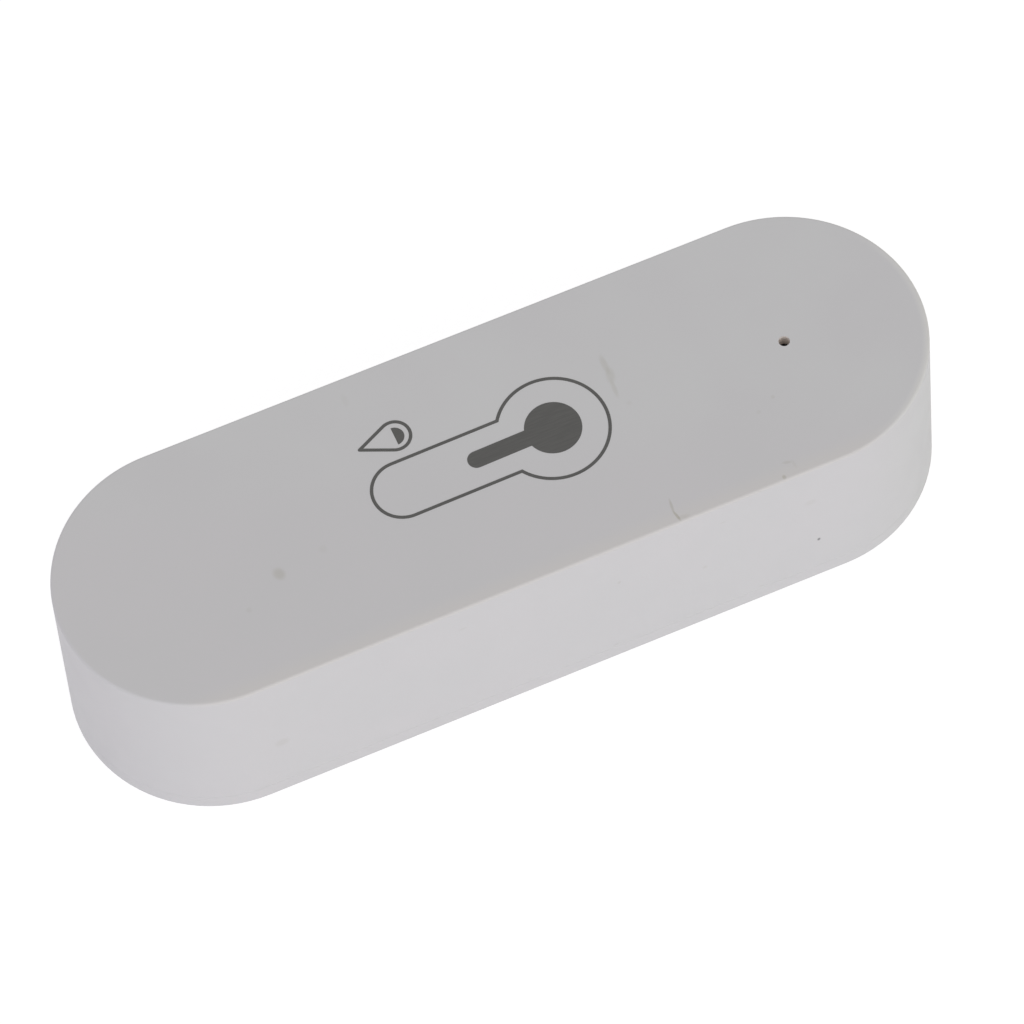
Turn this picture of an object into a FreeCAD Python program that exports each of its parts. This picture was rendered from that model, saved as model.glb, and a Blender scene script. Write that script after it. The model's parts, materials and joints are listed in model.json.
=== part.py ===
import FreeCAD, Part
import math
import os

import Sketcher
from FreeCAD import Vector

# Smart thermometer and hygrometer: a pill-shaped sensor box that lies or sticks on its back.
# Frame: origin at the middle of the back face, +X towards the indicator hole, +Z out of the front.

doc = FreeCAD.newDocument("climate_sensor_box")

# Driving dimensions, millimetres and degrees
DIMENSIONS = (
    # Shell: it wraps what it holds, so its outer sizes are worked out below
    ("draft_angle", 1.0),
    ("wall", 1.55),
    ("top_wall", 1.6),
    ("edge_break", 0.25),
    ("seam_gap", 0.02),
    ("front_gap", 0.25),
    # Back cover: plate, lip, snap beads, vents and finger notch
    ("cover_plate", 1.8),
    ("cover_edge_break", 0.15),
    ("lip_height", 1.8),
    ("lip_wall", 1.0),
    ("lip_gap", 0.15),
    ("bead_length", 6.0),
    ("bead_height", 0.8),
    ("bead_depth", 0.12),
    ("bead_rise", 0.6),
    ("bead_spacing", 36.0),
    ("recess_depth", 0.2),
    ("recess_gap", 0.25),
    ("cradle_rib", 1.0),
    ("cradle_height", 1.5),
    ("cradle_gap", 0.15),
    ("vent_width", 1.0),
    ("vent_length", 7.0),
    ("vent_pitch", 1.8),
    ("vent_count", 6),
    ("notch_radius", 9.0),
    ("notch_depth", 0.9),
    ("notch_height", 0.8),
    # Indicator hole and its light well
    ("pinhole_diameter", 1.0),
    ("well_bore", 1.8),
    ("well_wall", 0.7),
    ("well_gap", 0.25),
    # Screw bosses and hold-down ribs under the front
    ("boss_radius", 2.2),
    ("boss_inset", 4.1),
    ("boss_clearance", 0.5),
    ("boss_wall_gap", 0.3),
    ("boss_break", 0.25),
    ("boss_rib", 1.0),
    ("hold_rib", 1.0),
    ("hold_rib_length", 16.0),
    ("hold_rib_inset", 3.0),
    ("hold_rib_gap", 1.2),
    ("hold_gap", 0.1),
    # Battery cells
    ("cell_diameter", 10.5),
    ("cell_length", 44.5),
    ("nub_diameter", 3.8),
    ("nub_height", 0.9),
    ("cell_gap", 0.2),
    ("cell_side_gap", 0.62),
    ("cell_floor_gap", 0.3),
    ("cell_clearance", 0.25),
    ("corner_gap", 0.06),
    # Battery carrier
    ("carrier_gap", 0.3),
    ("carrier_side_gap", 0.15),
    ("carrier_web", 0.8),
    ("carrier_wall", 1.0),
    ("carrier_end_wall", 1.4),
    ("carrier_side_rise", 2.2),
    ("cell_post", 1.3),
    ("deck_thickness", 1.2),
    ("screw_pad", 2.4),
    # Contacts
    ("contact_sheet", 0.3),
    ("contact_width", 7.6),
    ("contact_gap", 0.1),
    ("contact_tab", 2.0),
    ("tab_rise", 0.5),
    ("bump_height", 0.7),
    ("bump_radius", 1.7),
    ("bump_tip_radius", 1.2),
    ("spring_height", 3.0),
    ("spring_wire", 0.5),
    ("spring_base_radius", 3.0),
    ("spring_tip_radius", 1.5),
    ("spring_turns", 3),
    # Main board and what it carries
    ("board_thickness", 1.0),
    ("board_side_gap", 0.4),
    ("board_slot", 1.0),
    ("radio_length", 20.0),
    ("radio_width", 16.0),
    ("radio_thickness", 0.8),
    ("shield_length", 14.0),
    ("shield_width", 13.0),
    ("shield_height", 1.7),
    ("shield_sheet", 0.2),
    ("shield_inset", 1.0),
    ("led_length", 1.6),
    ("led_width", 0.8),
    ("led_height", 0.6),
    ("regulator_length", 2.9),
    ("regulator_width", 1.6),
    ("regulator_height", 1.1),
    ("regulator_aside", 4.8),
    ("capacitor_length", 1.6),
    ("capacitor_width", 0.8),
    ("capacitor_height", 0.8),
    ("capacitor_pitch", 3.2),
    ("resistor_length", 1.0),
    ("resistor_width", 0.5),
    ("resistor_height", 0.35),
    ("resistor_pitch", 1.5),
    ("resistor_aside", 2.0),
    ("sensor_side", 2.5),
    ("sensor_height", 0.9),
    ("sensor_port", 0.8),
    ("sensor_port_depth", 0.3),
    ("sensor_offset", 0.6),
    ("sensor_aside", 3.2),
    ("sensor_window", 4.4),
    ("can_diameter", 5.0),
    ("can_height", 5.4),
    ("can_foot_height", 0.9),
    ("can_gap", 1.15),
    ("can_aside", 4.9),
    ("can_boss_gap", 0.35),
    # Tactile switch and pairing button
    ("switch_side", 6.0),
    ("switch_height", 3.5),
    ("plunger_radius", 1.75),
    ("plunger_reach", 1.3),
    ("plunger_depth", 0.6),
    ("plunger_gap", 0.1),
    ("button_travel", 0.25),
    ("button_inset", 5.1),
    ("button_radius", 1.7),
    ("button_gap", 0.1),
    ("button_flange", 2.6),
    ("flange_height", 1.0),
    ("flange_gap", 0.05),
    ("button_post", 1.2),
    ("button_proud", 0.2),
    ("terminal_length", 1.2),
    ("terminal_width", 0.9),
    ("terminal_sheet", 0.2),
    # Fasteners
    ("screw_head", 3.2),
    ("screw_head_height", 1.0),
    ("screw_clearance", 0.15),
    ("screw_shank", 1.9),
    ("carrier_screw_length", 6.0),
    ("board_screw_shank", 1.6),
    ("board_screw_grip", 2.0),
    ("board_screw_head", 2.8),
    ("board_screw_near", 8.0),
    ("board_screw_far", 2.7),
    ("thread_gap", 0.05),
)

# Places and fits that follow from the driving dimensions
FITS = (
    ("lean", "tan(dims.draft_angle)"),
    # Heights, from the back face up
    ("seam_height", "dims.cover_plate + dims.seam_gap"),
    ("lip_top", "dims.cover_plate + dims.lip_height"),
    ("carrier_bottom", "fits.lip_top + dims.carrier_gap"),
    ("deck_top", "fits.carrier_bottom + dims.deck_thickness"),
    ("pad_top", "fits.carrier_bottom + dims.screw_pad"),
    ("cell_radius", "dims.cell_diameter / 2"),
    ("cell_axis", "dims.cover_plate + dims.cell_floor_gap + fits.cell_radius"),
    ("channel_radius", "fits.cell_radius + dims.cell_clearance"),
    ("channel_top", "fits.cell_axis + fits.channel_radius"),
    ("carrier_top", "fits.channel_top + dims.carrier_web"),
    ("board_bottom", "fits.carrier_top"),
    ("board_top", "fits.board_bottom + dims.board_thickness"),
    ("led_top", "fits.board_top + dims.led_height"),
    ("radio_top", "fits.board_top + dims.radio_thickness"),
    ("ceiling", "fits.radio_top + dims.shield_height + dims.front_gap"),
    ("body_height", "fits.ceiling + dims.top_wall"),
    ("switch_bottom", "fits.board_bottom - dims.switch_height"),
    ("plunger_bottom", "fits.switch_bottom - dims.plunger_reach"),
    # Widths, from the two cells outwards
    ("cell_aside", "(dims.cell_diameter + dims.cell_gap) / 2"),
    ("cell_reach", "fits.cell_aside + fits.cell_radius"),
    ("cavity_radius", "fits.cell_reach + dims.cell_side_gap"),
    ("shell_radius", "fits.cavity_radius + dims.wall"),
    ("half_width", "fits.shell_radius + fits.lean * fits.seam_height"),
    ("lip_radius", "fits.cavity_radius - dims.lip_gap"),
    ("lip_inner", "fits.lip_radius - dims.lip_wall"),
    ("carrier_radius",
     "fits.cavity_radius - fits.lean * (fits.carrier_top - fits.seam_height) - dims.carrier_side_gap"),
    ("board_radius",
     "fits.cavity_radius - fits.lean * (fits.board_top - fits.seam_height) - dims.board_side_gap"),
    # Lengths: the cells reach as far into the round end as their corners allow
    ("corner_radius",
     "fits.cavity_radius - fits.lean * (fits.cell_axis - fits.seam_height) - dims.corner_gap"),
    ("corner_reach", "sqrt(fits.corner_radius ^ 2 - fits.cell_reach ^ 2)"),
    ("end_block", "fits.half_width - fits.corner_reach - dims.nub_height - dims.bump_height"),
    ("core_length", "dims.spring_height + dims.cell_length + dims.bump_height"),
    ("can_inset",
     "dims.button_inset + dims.switch_side / 2 + dims.terminal_length + dims.can_gap"
     " + dims.can_diameter / 2"),
    ("electronics_length",
     "fits.can_inset + dims.can_diameter / 2 + dims.can_boss_gap + dims.boss_radius + dims.boss_inset"),
    ("body_length",
     "fits.end_block + fits.core_length + dims.contact_sheet + dims.carrier_end_wall"
     " + fits.electronics_length"),
    ("arc_centre", "fits.body_length / 2 - fits.half_width"),
    ("bay_left", "fits.end_block - fits.body_length / 2"),
    ("bay_right", "fits.bay_left + fits.core_length"),
    ("sheet_left", "fits.bay_left - dims.contact_sheet"),
    ("sheet_right", "fits.bay_right + dims.contact_sheet"),
    ("link_reach",
     "sqrt(fits.carrier_radius ^ 2 - (fits.sheet_left + fits.arc_centre) ^ 2) - dims.carrier_wall"),
    ("contact_reach", "fits.cell_aside + dims.contact_width / 2 + dims.contact_gap"),
    ("deck_start", "fits.sheet_right + dims.carrier_end_wall"),
    ("button_place", "fits.deck_start + dims.button_inset"),
    ("can_place", "fits.deck_start + fits.can_inset"),
    ("sensor_place", "fits.can_place + dims.sensor_offset"),
    ("boss_notch", "dims.boss_radius + dims.boss_clearance"),
    ("boss_bore", "dims.screw_shank / 2 + dims.thread_gap"),
    ("end_boss", "fits.body_length / 2 - dims.boss_inset"),
    ("side_boss", "fits.deck_start + fits.boss_notch + dims.boss_wall_gap"),
    ("side_boss_aside", "fits.carrier_radius - fits.boss_notch + dims.boss_break"),
    ("near_screw", "fits.bay_left + dims.board_screw_near"),
    ("far_screw", "fits.bay_right - dims.board_screw_far"),
    ("radio_place", "(fits.near_screw + fits.far_screw) / 2"),
    ("radio_rib", "fits.radio_place - dims.radio_length / 2 - dims.hold_rib_gap - dims.hold_rib / 2"),
)

sheets = {}
for sheet_name, rows in (("dims", DIMENSIONS), ("fits", FITS)):
    sheet = doc.addObject("Spreadsheet::Sheet", sheet_name)
    sheets[sheet_name] = sheet
    for row, (alias, content) in enumerate(rows, start=1):
        sheet.set(f"A{row}", alias)
        sheet.set(f"B{row}", str(content) if sheet_name == "dims" else f"={content}")
        sheet.setAlias(f"B{row}", alias)
    doc.recompute()


def number(expression):
    """The value that an expression has in this document."""
    return float(sheets["dims"].evalExpression(str(expression)))


# Bodies, sketches and features

SAME_PLACE = 1e-4
subparts = []


def new_body(name):
    body = doc.addObject("PartDesign::Body", name)
    body.Label = name
    subparts.append(body)
    return body


def new_sketch(body, name, plane="XY_Plane", offset="0"):
    """A sketch on one of the body's own origin planes, moved along that plane's normal."""
    origin_plane = next(item for item in body.Origin.OriginFeatures if item.Role == plane)
    drawing = body.newObject("Sketcher::SketchObject", f"{body.Name}_{name}")
    drawing.AttachmentSupport = [(origin_plane, "")]
    drawing.MapMode = "FlatFace"
    drawing.setExpression("AttachmentOffset.Base.z", offset)
    return drawing


def bind(drawing, kind, elements, expression):
    """Add a dimension to a sketch and tie it to an expression."""
    index = drawing.addConstraint(Sketcher.Constraint(kind, *elements, number(expression)))
    drawing.setExpression(f"Constraints[{index}]", expression)


def pin_point(drawing, element, point, place_x, place_y):
    bind(drawing, "DistanceX", (-1, 1, element, point), place_x)
    bind(drawing, "DistanceY", (-1, 1, element, point), place_y)


def add_circle(drawing, place_x, place_y, radius):
    centre = Vector(number(place_x), number(place_y), 0)
    circle = drawing.addGeometry(Part.Circle(centre, Vector(0, 0, 1), number(radius)))
    pin_point(drawing, circle, 3, place_x, place_y)
    bind(drawing, "Radius", (circle,), radius)


def add_polygon(drawing, corners):
    """A closed outline of straight lines through corners given as pairs of expressions."""
    places = [Vector(number(x), number(y), 0) for x, y in corners]
    lines = [
        drawing.addGeometry(Part.LineSegment(start, end))
        for start, end in zip(places, places[1:] + places[:1])
    ]
    for line, following in zip(lines, lines[1:] + lines[:1]):
        drawing.addConstraint(Sketcher.Constraint("Coincident", line, 2, following, 1))
    for line, (place_x, place_y) in zip(lines, corners):
        pin_point(drawing, line, 1, place_x, place_y)


def add_rectangle(drawing, left, right, low, high):
    add_polygon(drawing, ((left, low), (right, low), (right, high), (left, high)))


def add_stadium(drawing, radius, left="-fits.arc_centre", right="fits.arc_centre"):
    """Two half circles joined by tangent lines, symmetric about the long axis."""
    half_turn = math.pi / 2
    size = number(radius)
    from_x = number(left)
    to_x = number(right)
    up = Vector(0, 0, 1)
    low_line = drawing.addGeometry(Part.LineSegment(Vector(from_x, -size, 0), Vector(to_x, -size, 0)))
    right_arc = drawing.addGeometry(
        Part.ArcOfCircle(Part.Circle(Vector(to_x, 0, 0), up, size), -half_turn, half_turn))
    high_line = drawing.addGeometry(Part.LineSegment(Vector(to_x, size, 0), Vector(from_x, size, 0)))
    left_arc = drawing.addGeometry(
        Part.ArcOfCircle(Part.Circle(Vector(from_x, 0, 0), up, size), half_turn, 3 * half_turn))
    loop = (low_line, right_arc, high_line, left_arc)
    for element, following in zip(loop, loop[1:] + loop[:1]):
        drawing.addConstraint(Sketcher.Constraint("Tangent", element, 2, following, 1))
    pin_point(drawing, right_arc, 3, right, "0")
    pin_point(drawing, left_arc, 3, left, "0")
    bind(drawing, "Radius", (right_arc,), radius)
    bind(drawing, "Radius", (left_arc,), radius)


def add_end_outline(drawing, flat, centre, radius):
    """A half circle about (centre, 0) at the +X end, closed by a flat wall at x = flat."""
    size = number(radius)
    middle = number(centre)
    wall_x = number(flat)
    half_turn = math.pi / 2
    arc = drawing.addGeometry(Part.ArcOfCircle(
        Part.Circle(Vector(middle, 0, 0), Vector(0, 0, 1), size), -half_turn, half_turn))
    high_line = drawing.addGeometry(Part.LineSegment(Vector(middle, size, 0), Vector(wall_x, size, 0)))
    flat_line = drawing.addGeometry(Part.LineSegment(Vector(wall_x, size, 0), Vector(wall_x, -size, 0)))
    low_line = drawing.addGeometry(Part.LineSegment(Vector(wall_x, -size, 0), Vector(middle, -size, 0)))
    drawing.addConstraint([
        Sketcher.Constraint("Tangent", arc, 2, high_line, 1),
        Sketcher.Constraint("Coincident", high_line, 2, flat_line, 1),
        Sketcher.Constraint("Coincident", flat_line, 2, low_line, 1),
        Sketcher.Constraint("Tangent", low_line, 2, arc, 1),
        Sketcher.Constraint("Vertical", flat_line),
    ])
    pin_point(drawing, arc, 3, centre, "0")
    bind(drawing, "DistanceX", (-1, 1, flat_line, 1), flat)
    bind(drawing, "Radius", (arc,), radius)


def add_feature(body, kind, drawing, length, both_ways=False, backwards=False, taper=None):
    feature = body.newObject(f"PartDesign::{kind}", f"{drawing.Name}_{kind.lower()}")
    feature.Profile = drawing
    feature.setExpression("Length", length)
    feature.SideType = "Symmetric" if both_ways else "One side"
    feature.Reversed = backwards
    if taper:
        feature.setExpression("TaperAngle", taper)
    drawing.Visibility = False
    return feature


def pad(body, drawing, length, **options):
    """Add material from the sketch along its normal."""
    return add_feature(body, "Pad", drawing, length, **options)


def pocket(body, drawing, length, **options):
    """Cut from the sketch, against its normal unless backwards, and make sure that it cuts."""
    doc.recompute()
    before = body.Shape.Volume
    feature = add_feature(body, "Pocket", drawing, length, **options)
    doc.recompute()
    if body.Shape.Volume > before - SAME_PLACE:
        raise RuntimeError(f"{drawing.Name} cuts nothing")
    return feature


def revolve(body, drawing, axis):
    feature = body.newObject("PartDesign::Revolution", f"{drawing.Name}_turned")
    feature.Profile = drawing
    feature.ReferenceAxis = (drawing, [axis])
    feature.Angle = 360
    drawing.Visibility = False
    return feature


def break_edges(body, size, height):
    """Chamfer the edges of the body's last shape that lie level at this height."""
    doc.recompute()
    base = body.Tip
    level = number(height)
    chosen = []
    for index, edge in enumerate(base.Shape.Edges, start=1):
        box = edge.BoundBox
        if max(abs(box.ZMin - level), abs(box.ZMax - level)) < SAME_PLACE:
            chosen.append(f"Edge{index}")
    chamfer = body.newObject("PartDesign::Chamfer", f"{body.Name}_chamfer")
    chamfer.Base = (base, chosen)
    chamfer.setExpression("Size", size)


def primitive(kind, name, place, **sizes):
    """A Part solid whose sizes and place are expressions."""
    solid = doc.addObject(f"Part::{kind}", name)
    for size_name, expression in sizes.items():
        solid.setExpression(size_name, expression)
    for axis, expression in zip("xyz", place):
        solid.setExpression(f"Placement.Base.{axis}", expression)
    return solid


def box(name, place, length, width, height):
    """A block centred on place in X and Y, standing on place in Z."""
    corner = (f"{place[0]} - ({length}) / 2", f"{place[1]} - ({width}) / 2", place[2])
    return primitive("Box", name, corner, Length=length, Width=width, Height=height)


def cylinder(name, place, radius, height):
    return primitive("Cylinder", name, place, Radius=radius, Height=height)


def fuse(name, *solids):
    joined = doc.addObject("Part::MultiFuse", name)
    joined.Shapes = list(solids)
    return joined


def cut(name, base, tool):
    result = doc.addObject("Part::Cut", name)
    result.Base = base
    result.Tool = tool
    return result


def group(name, solids):
    """Identical pieces that share one name as separate solids."""
    together = doc.addObject("Part::Compound", name)
    together.Links = list(solids)
    together.Label = name
    subparts.append(together)
    return together


def finish_solid(solid, name):
    solid.Label = name
    subparts.append(solid)


BOSSES = (
    ("left", "-fits.end_boss", "0"),
    ("right", "fits.end_boss", "0"),
    ("near", "fits.side_boss", "-fits.side_boss_aside"),
    ("far", "fits.side_boss", "fits.side_boss_aside"),
)
BEADS = [(x, y) for x in (-1, 1) for y in (-1, 1)]
CELL_SIDES = (("near", "-fits.cell_aside"), ("far", "fits.cell_aside"))
BOARD_SCREWS = ("fits.near_screw", "fits.far_screw")
HOLD_RIBS = ("fits.bay_left + dims.hold_rib_inset", "fits.radio_rib", "fits.deck_start")


def make_top_cover():
    body = new_body("top_cover")
    outline = new_sketch(body, "outline", offset="fits.seam_height")
    add_stadium(outline, "fits.shell_radius")
    pad(body, outline, "fits.body_height - fits.seam_height", taper="-dims.draft_angle")
    break_edges(body, "dims.edge_break", "fits.body_height")

    cavity = new_sketch(body, "cavity", offset="fits.seam_height")
    add_stadium(cavity, "fits.cavity_radius")
    pocket(body, cavity, "fits.ceiling - fits.seam_height", backwards=True, taper="-dims.draft_angle")

    # Snap recesses that the back cover's beads click into
    for side_x, side_y in BEADS:
        recess = new_sketch(body, f"recess_{side_x + 1}{side_y + 1}", "YZ_Plane",
                            f"{side_x} * dims.bead_spacing / 2")
        bead_low = "fits.seam_height + dims.bead_rise - dims.recess_gap"
        bead_high = "fits.seam_height + dims.bead_rise + dims.bead_height + dims.recess_gap"
        inner = f"{side_y} * (fits.cavity_radius - dims.lip_gap)"
        outer = f"{side_y} * (fits.cavity_radius + dims.recess_depth)"
        add_rectangle(recess, inner, outer, bead_low, bead_high)
        pocket(body, recess, "dims.bead_length + 2 * dims.recess_gap", both_ways=True)

    # Screw bosses, each tied to the side wall by a rib
    for name, place_x, place_y in BOSSES:
        boss = new_sketch(body, f"{name}_boss", offset="fits.pad_top")
        add_circle(boss, place_x, place_y, "dims.boss_radius")
        pad(body, boss, "fits.ceiling - fits.pad_top + dims.top_wall / 2")
        rib = new_sketch(body, f"{name}_boss_rib", offset="fits.pad_top")
        if name in ("left", "right"):
            side = -1 if name == "left" else 1
            add_rectangle(rib, f"{side} * fits.end_boss",
                          f"{side} * (fits.arc_centre + fits.cavity_radius + dims.wall / 3)",
                          "-dims.boss_rib / 2", "dims.boss_rib / 2")
        else:
            side = -1 if name == "near" else 1
            add_rectangle(rib, "fits.side_boss - dims.boss_rib / 2", "fits.side_boss + dims.boss_rib / 2",
                          f"{side} * fits.side_boss_aside",
                          f"{side} * (fits.cavity_radius + dims.wall / 3)")
        pad(body, rib, "fits.ceiling - fits.pad_top + dims.top_wall / 2")
        bore = new_sketch(body, f"{name}_boss_bore", offset="fits.pad_top")
        add_circle(bore, place_x, place_y, "fits.boss_bore")
        pocket(body, bore, "dims.carrier_screw_length", backwards=True)

    # Ribs that hold the board down
    for index, place_x in enumerate(HOLD_RIBS):
        rib = new_sketch(body, f"hold_rib_{index}", offset="fits.board_top + dims.hold_gap")
        add_rectangle(rib, f"{place_x} - dims.hold_rib / 2", f"{place_x} + dims.hold_rib / 2",
                      "-dims.hold_rib_length / 2", "dims.hold_rib_length / 2")
        pad(body, rib, "fits.ceiling - fits.board_top - dims.hold_gap + dims.top_wall / 2")

    # Light well over the indicator, then the pinhole through the front
    well = new_sketch(body, "well", offset="fits.led_top + dims.well_gap")
    add_circle(well, "fits.arc_centre", "0", "dims.well_bore / 2 + dims.well_wall")
    pad(body, well, "fits.ceiling - fits.led_top - dims.well_gap + dims.top_wall / 2")
    well_bore = new_sketch(body, "well_bore", offset="fits.led_top + dims.well_gap")
    add_circle(well_bore, "fits.arc_centre", "0", "dims.well_bore / 2")
    pocket(body, well_bore, "fits.ceiling - fits.led_top - dims.well_gap", backwards=True)
    pinhole = new_sketch(body, "pinhole", offset="fits.body_height")
    add_circle(pinhole, "fits.arc_centre", "0", "dims.pinhole_diameter / 2")
    pocket(body, pinhole, "2 * dims.top_wall")


def make_back_cover():
    body = new_body("back_cover")
    outline = new_sketch(body, "outline")
    add_stadium(outline, "fits.half_width")
    pad(body, outline, "dims.cover_plate", taper="-dims.draft_angle")
    break_edges(body, "dims.cover_edge_break", "0")

    lip = new_sketch(body, "lip", offset="dims.cover_plate")
    add_stadium(lip, "fits.lip_radius")
    add_stadium(lip, "fits.lip_inner")
    pad(body, lip, "dims.lip_height")

    # Snap beads on the lip's long sides
    for side_x, side_y in BEADS:
        bead = new_sketch(body, f"bead_{side_x + 1}{side_y + 1}", "YZ_Plane",
                          f"{side_x} * dims.bead_spacing / 2")
        root = f"{side_y} * (fits.lip_radius - dims.lip_wall / 2)"
        face = f"{side_y} * fits.lip_radius"
        crest = f"{side_y} * (fits.lip_radius + dims.bead_depth)"
        low = "fits.seam_height + dims.bead_rise"
        add_polygon(bead, (
            (root, low),
            (face, low),
            (crest, f"{low} + dims.bead_height / 3"),
            (crest, f"{low} + 2 * dims.bead_height / 3"),
            (face, f"{low} + dims.bead_height"),
            (root, f"{low} + dims.bead_height"),
        ))
        pad(body, bead, "dims.bead_length", both_ways=True)

    # Cradle ribs under the cells
    for index, share in enumerate(("1 / 4", "1 / 2", "3 / 4")):
        rib = new_sketch(body, f"cradle_{index}", offset="dims.cover_plate")
        place_x = f"fits.bay_left + dims.spring_height + dims.cell_length * {share}"
        add_rectangle(rib, f"{place_x} - dims.cradle_rib / 2", f"{place_x} + dims.cradle_rib / 2",
                      "-fits.lip_inner - dims.lip_wall / 3", "fits.lip_inner + dims.lip_wall / 3")
        pad(body, rib, "dims.cradle_height")
    for name, place_y in CELL_SIDES:
        hollow = new_sketch(body, f"{name}_hollow", "YZ_Plane", "fits.bay_left + dims.spring_height")
        add_circle(hollow, place_y, "fits.cell_axis", "fits.cell_radius + dims.cradle_gap")
        pocket(body, hollow, "dims.cell_length", backwards=True)

    # Vent slots under the sensor
    slot = new_sketch(body, "vent", offset="dims.cover_plate")
    first = "fits.sensor_place - (dims.vent_count - 1) * dims.vent_pitch / 2 - dims.vent_pitch"
    add_rectangle(slot, f"{first} - dims.vent_width / 2", f"{first} + dims.vent_width / 2",
                  "-dims.vent_length / 2", "dims.vent_length / 2")
    vent = pocket(body, slot, "2 * dims.cover_plate")
    vents = body.newObject("PartDesign::LinearPattern", "vent_row")
    vents.Originals = [vent]
    vents.Direction = (slot, ["H_Axis"])
    vents.setExpression("Length", "(dims.vent_count - 1) * dims.vent_pitch")
    vents.setExpression("Occurrences", "dims.vent_count")
    body.Tip = vents

    # Shallow scoop at the far side for a fingernail
    scoop = new_sketch(body, "finger_notch", offset="dims.cover_plate")
    add_circle(scoop, "0", "fits.half_width + dims.notch_radius - dims.notch_depth", "dims.notch_radius")
    pocket(body, scoop, "dims.notch_height")


def make_battery_carrier():
    body = new_body("battery_carrier")
    outline = new_sketch(body, "outline", offset="fits.carrier_bottom")
    add_stadium(outline, "fits.carrier_radius")
    pad(body, outline, "fits.carrier_top - fits.carrier_bottom")

    # Channels over the cells, open below and at the sides
    for name, place_y in CELL_SIDES:
        channel = new_sketch(body, f"{name}_channel", "YZ_Plane", "fits.bay_left")
        add_circle(channel, place_y, "fits.cell_axis", "fits.channel_radius")
        pocket(body, channel, "fits.bay_right - fits.bay_left", backwards=True)
    bay = new_sketch(body, "bay", offset="fits.carrier_bottom")
    add_rectangle(bay, "fits.bay_left + dims.cell_post", "fits.bay_right - dims.bump_height",
                  "-fits.half_width", "fits.half_width")
    pocket(body, bay, "fits.cell_axis + dims.carrier_side_rise - fits.carrier_bottom", backwards=True)

    # Contact pockets at both ends of the cells
    for name, low_x, high_x, reach in (
            ("left", "fits.sheet_left", "fits.bay_left + dims.cell_post", "fits.link_reach"),
            ("right", "fits.bay_right - dims.bump_height", "fits.sheet_right", "fits.contact_reach")):
        well = new_sketch(body, f"{name}_contact_well", offset="fits.carrier_bottom")
        add_rectangle(well, low_x, high_x, f"-{reach}", reach)
        pocket(body, well, "fits.channel_top - fits.carrier_bottom", backwards=True)
    for name, place_y in CELL_SIDES:
        tab_slot = new_sketch(body, f"{name}_tab_slot", offset="fits.carrier_top")
        add_rectangle(tab_slot, "fits.bay_right - dims.contact_gap", "fits.sheet_right",
                      f"{place_y} - dims.contact_tab / 2 - dims.contact_gap",
                      f"{place_y} + dims.contact_tab / 2 + dims.contact_gap")
        pocket(body, tab_slot, "2 * dims.carrier_web")

    # Electronics bay: an open tray with pads under the screws
    tray = new_sketch(body, "tray", offset="fits.carrier_top")
    add_end_outline(tray, "fits.deck_start", "fits.arc_centre", "fits.carrier_radius - dims.carrier_wall")
    pocket(body, tray, "fits.carrier_top - fits.deck_top")
    for name, place_x, place_y in BOSSES[1:]:
        screw_pad = new_sketch(body, f"{name}_screw_pad", offset="fits.carrier_bottom")
        add_circle(screw_pad, place_x, place_y, "dims.boss_radius")
        pad(body, screw_pad, "dims.screw_pad")
    for name, place_x, place_y in BOSSES:
        notch = new_sketch(body, f"{name}_boss_notch", offset="fits.carrier_top")
        add_circle(notch, place_x, place_y, "fits.boss_notch")
        pocket(body, notch, "fits.carrier_top - fits.pad_top")
        seat = new_sketch(body, f"{name}_screw_seat", offset="fits.carrier_bottom")
        add_circle(seat, place_x, place_y, "dims.screw_head / 2 + dims.screw_clearance")
        pocket(body, seat, "dims.screw_head_height", backwards=True)
        hole = new_sketch(body, f"{name}_screw_hole", offset="fits.pad_top")
        add_circle(hole, place_x, place_y, "dims.screw_shank / 2 + dims.screw_clearance")
        pocket(body, hole, "dims.screw_pad")

    # Button hole, sensor window and pilot holes for the board screws
    button_hole = new_sketch(body, "button_hole", offset="fits.deck_top")
    add_circle(button_hole, "fits.button_place", "0", "dims.button_radius + dims.button_gap")
    pocket(body, button_hole, "2 * dims.deck_thickness")
    window = new_sketch(body, "sensor_window", offset="fits.deck_top")
    add_rectangle(window, "fits.sensor_place - dims.sensor_window / 2",
                  "fits.sensor_place + dims.sensor_window / 2",
                  "dims.sensor_aside - dims.sensor_window / 2",
                  "dims.sensor_aside + dims.sensor_window / 2")
    pocket(body, window, "2 * dims.deck_thickness")
    for index, place_x in enumerate(BOARD_SCREWS):
        pilot = new_sketch(body, f"pilot_{index}", offset="fits.carrier_top")
        add_circle(pilot, place_x, "0", "dims.board_screw_shank / 2 + dims.thread_gap")
        pocket(body, pilot, "dims.board_screw_grip + dims.thread_gap")


def make_cell(name, start, place_y, facing):
    """An LR03 cell along X: facing 1 puts its nub at +X, -1 at -X."""
    body = new_body(name)
    profile = new_sketch(body, "profile", "XZ_Plane")
    shoulder = "dims.cell_length - dims.nub_height"
    add_polygon(profile, (
        ("0", "0"),
        ("0", "fits.cell_radius"),
        (shoulder, "fits.cell_radius"),
        (shoulder, "dims.nub_diameter / 2"),
        ("dims.cell_length", "dims.nub_diameter / 2"),
        ("dims.cell_length", "0"),
    ))
    revolve(body, profile, "H_Axis")
    body.Placement.Rotation = FreeCAD.Rotation(Vector(0, 0, 1), 0 if facing > 0 else 180)
    body.setExpression("Placement.Base.x", start)
    body.setExpression("Placement.Base.y", place_y)
    body.setExpression("Placement.Base.z", "fits.cell_axis")


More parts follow.
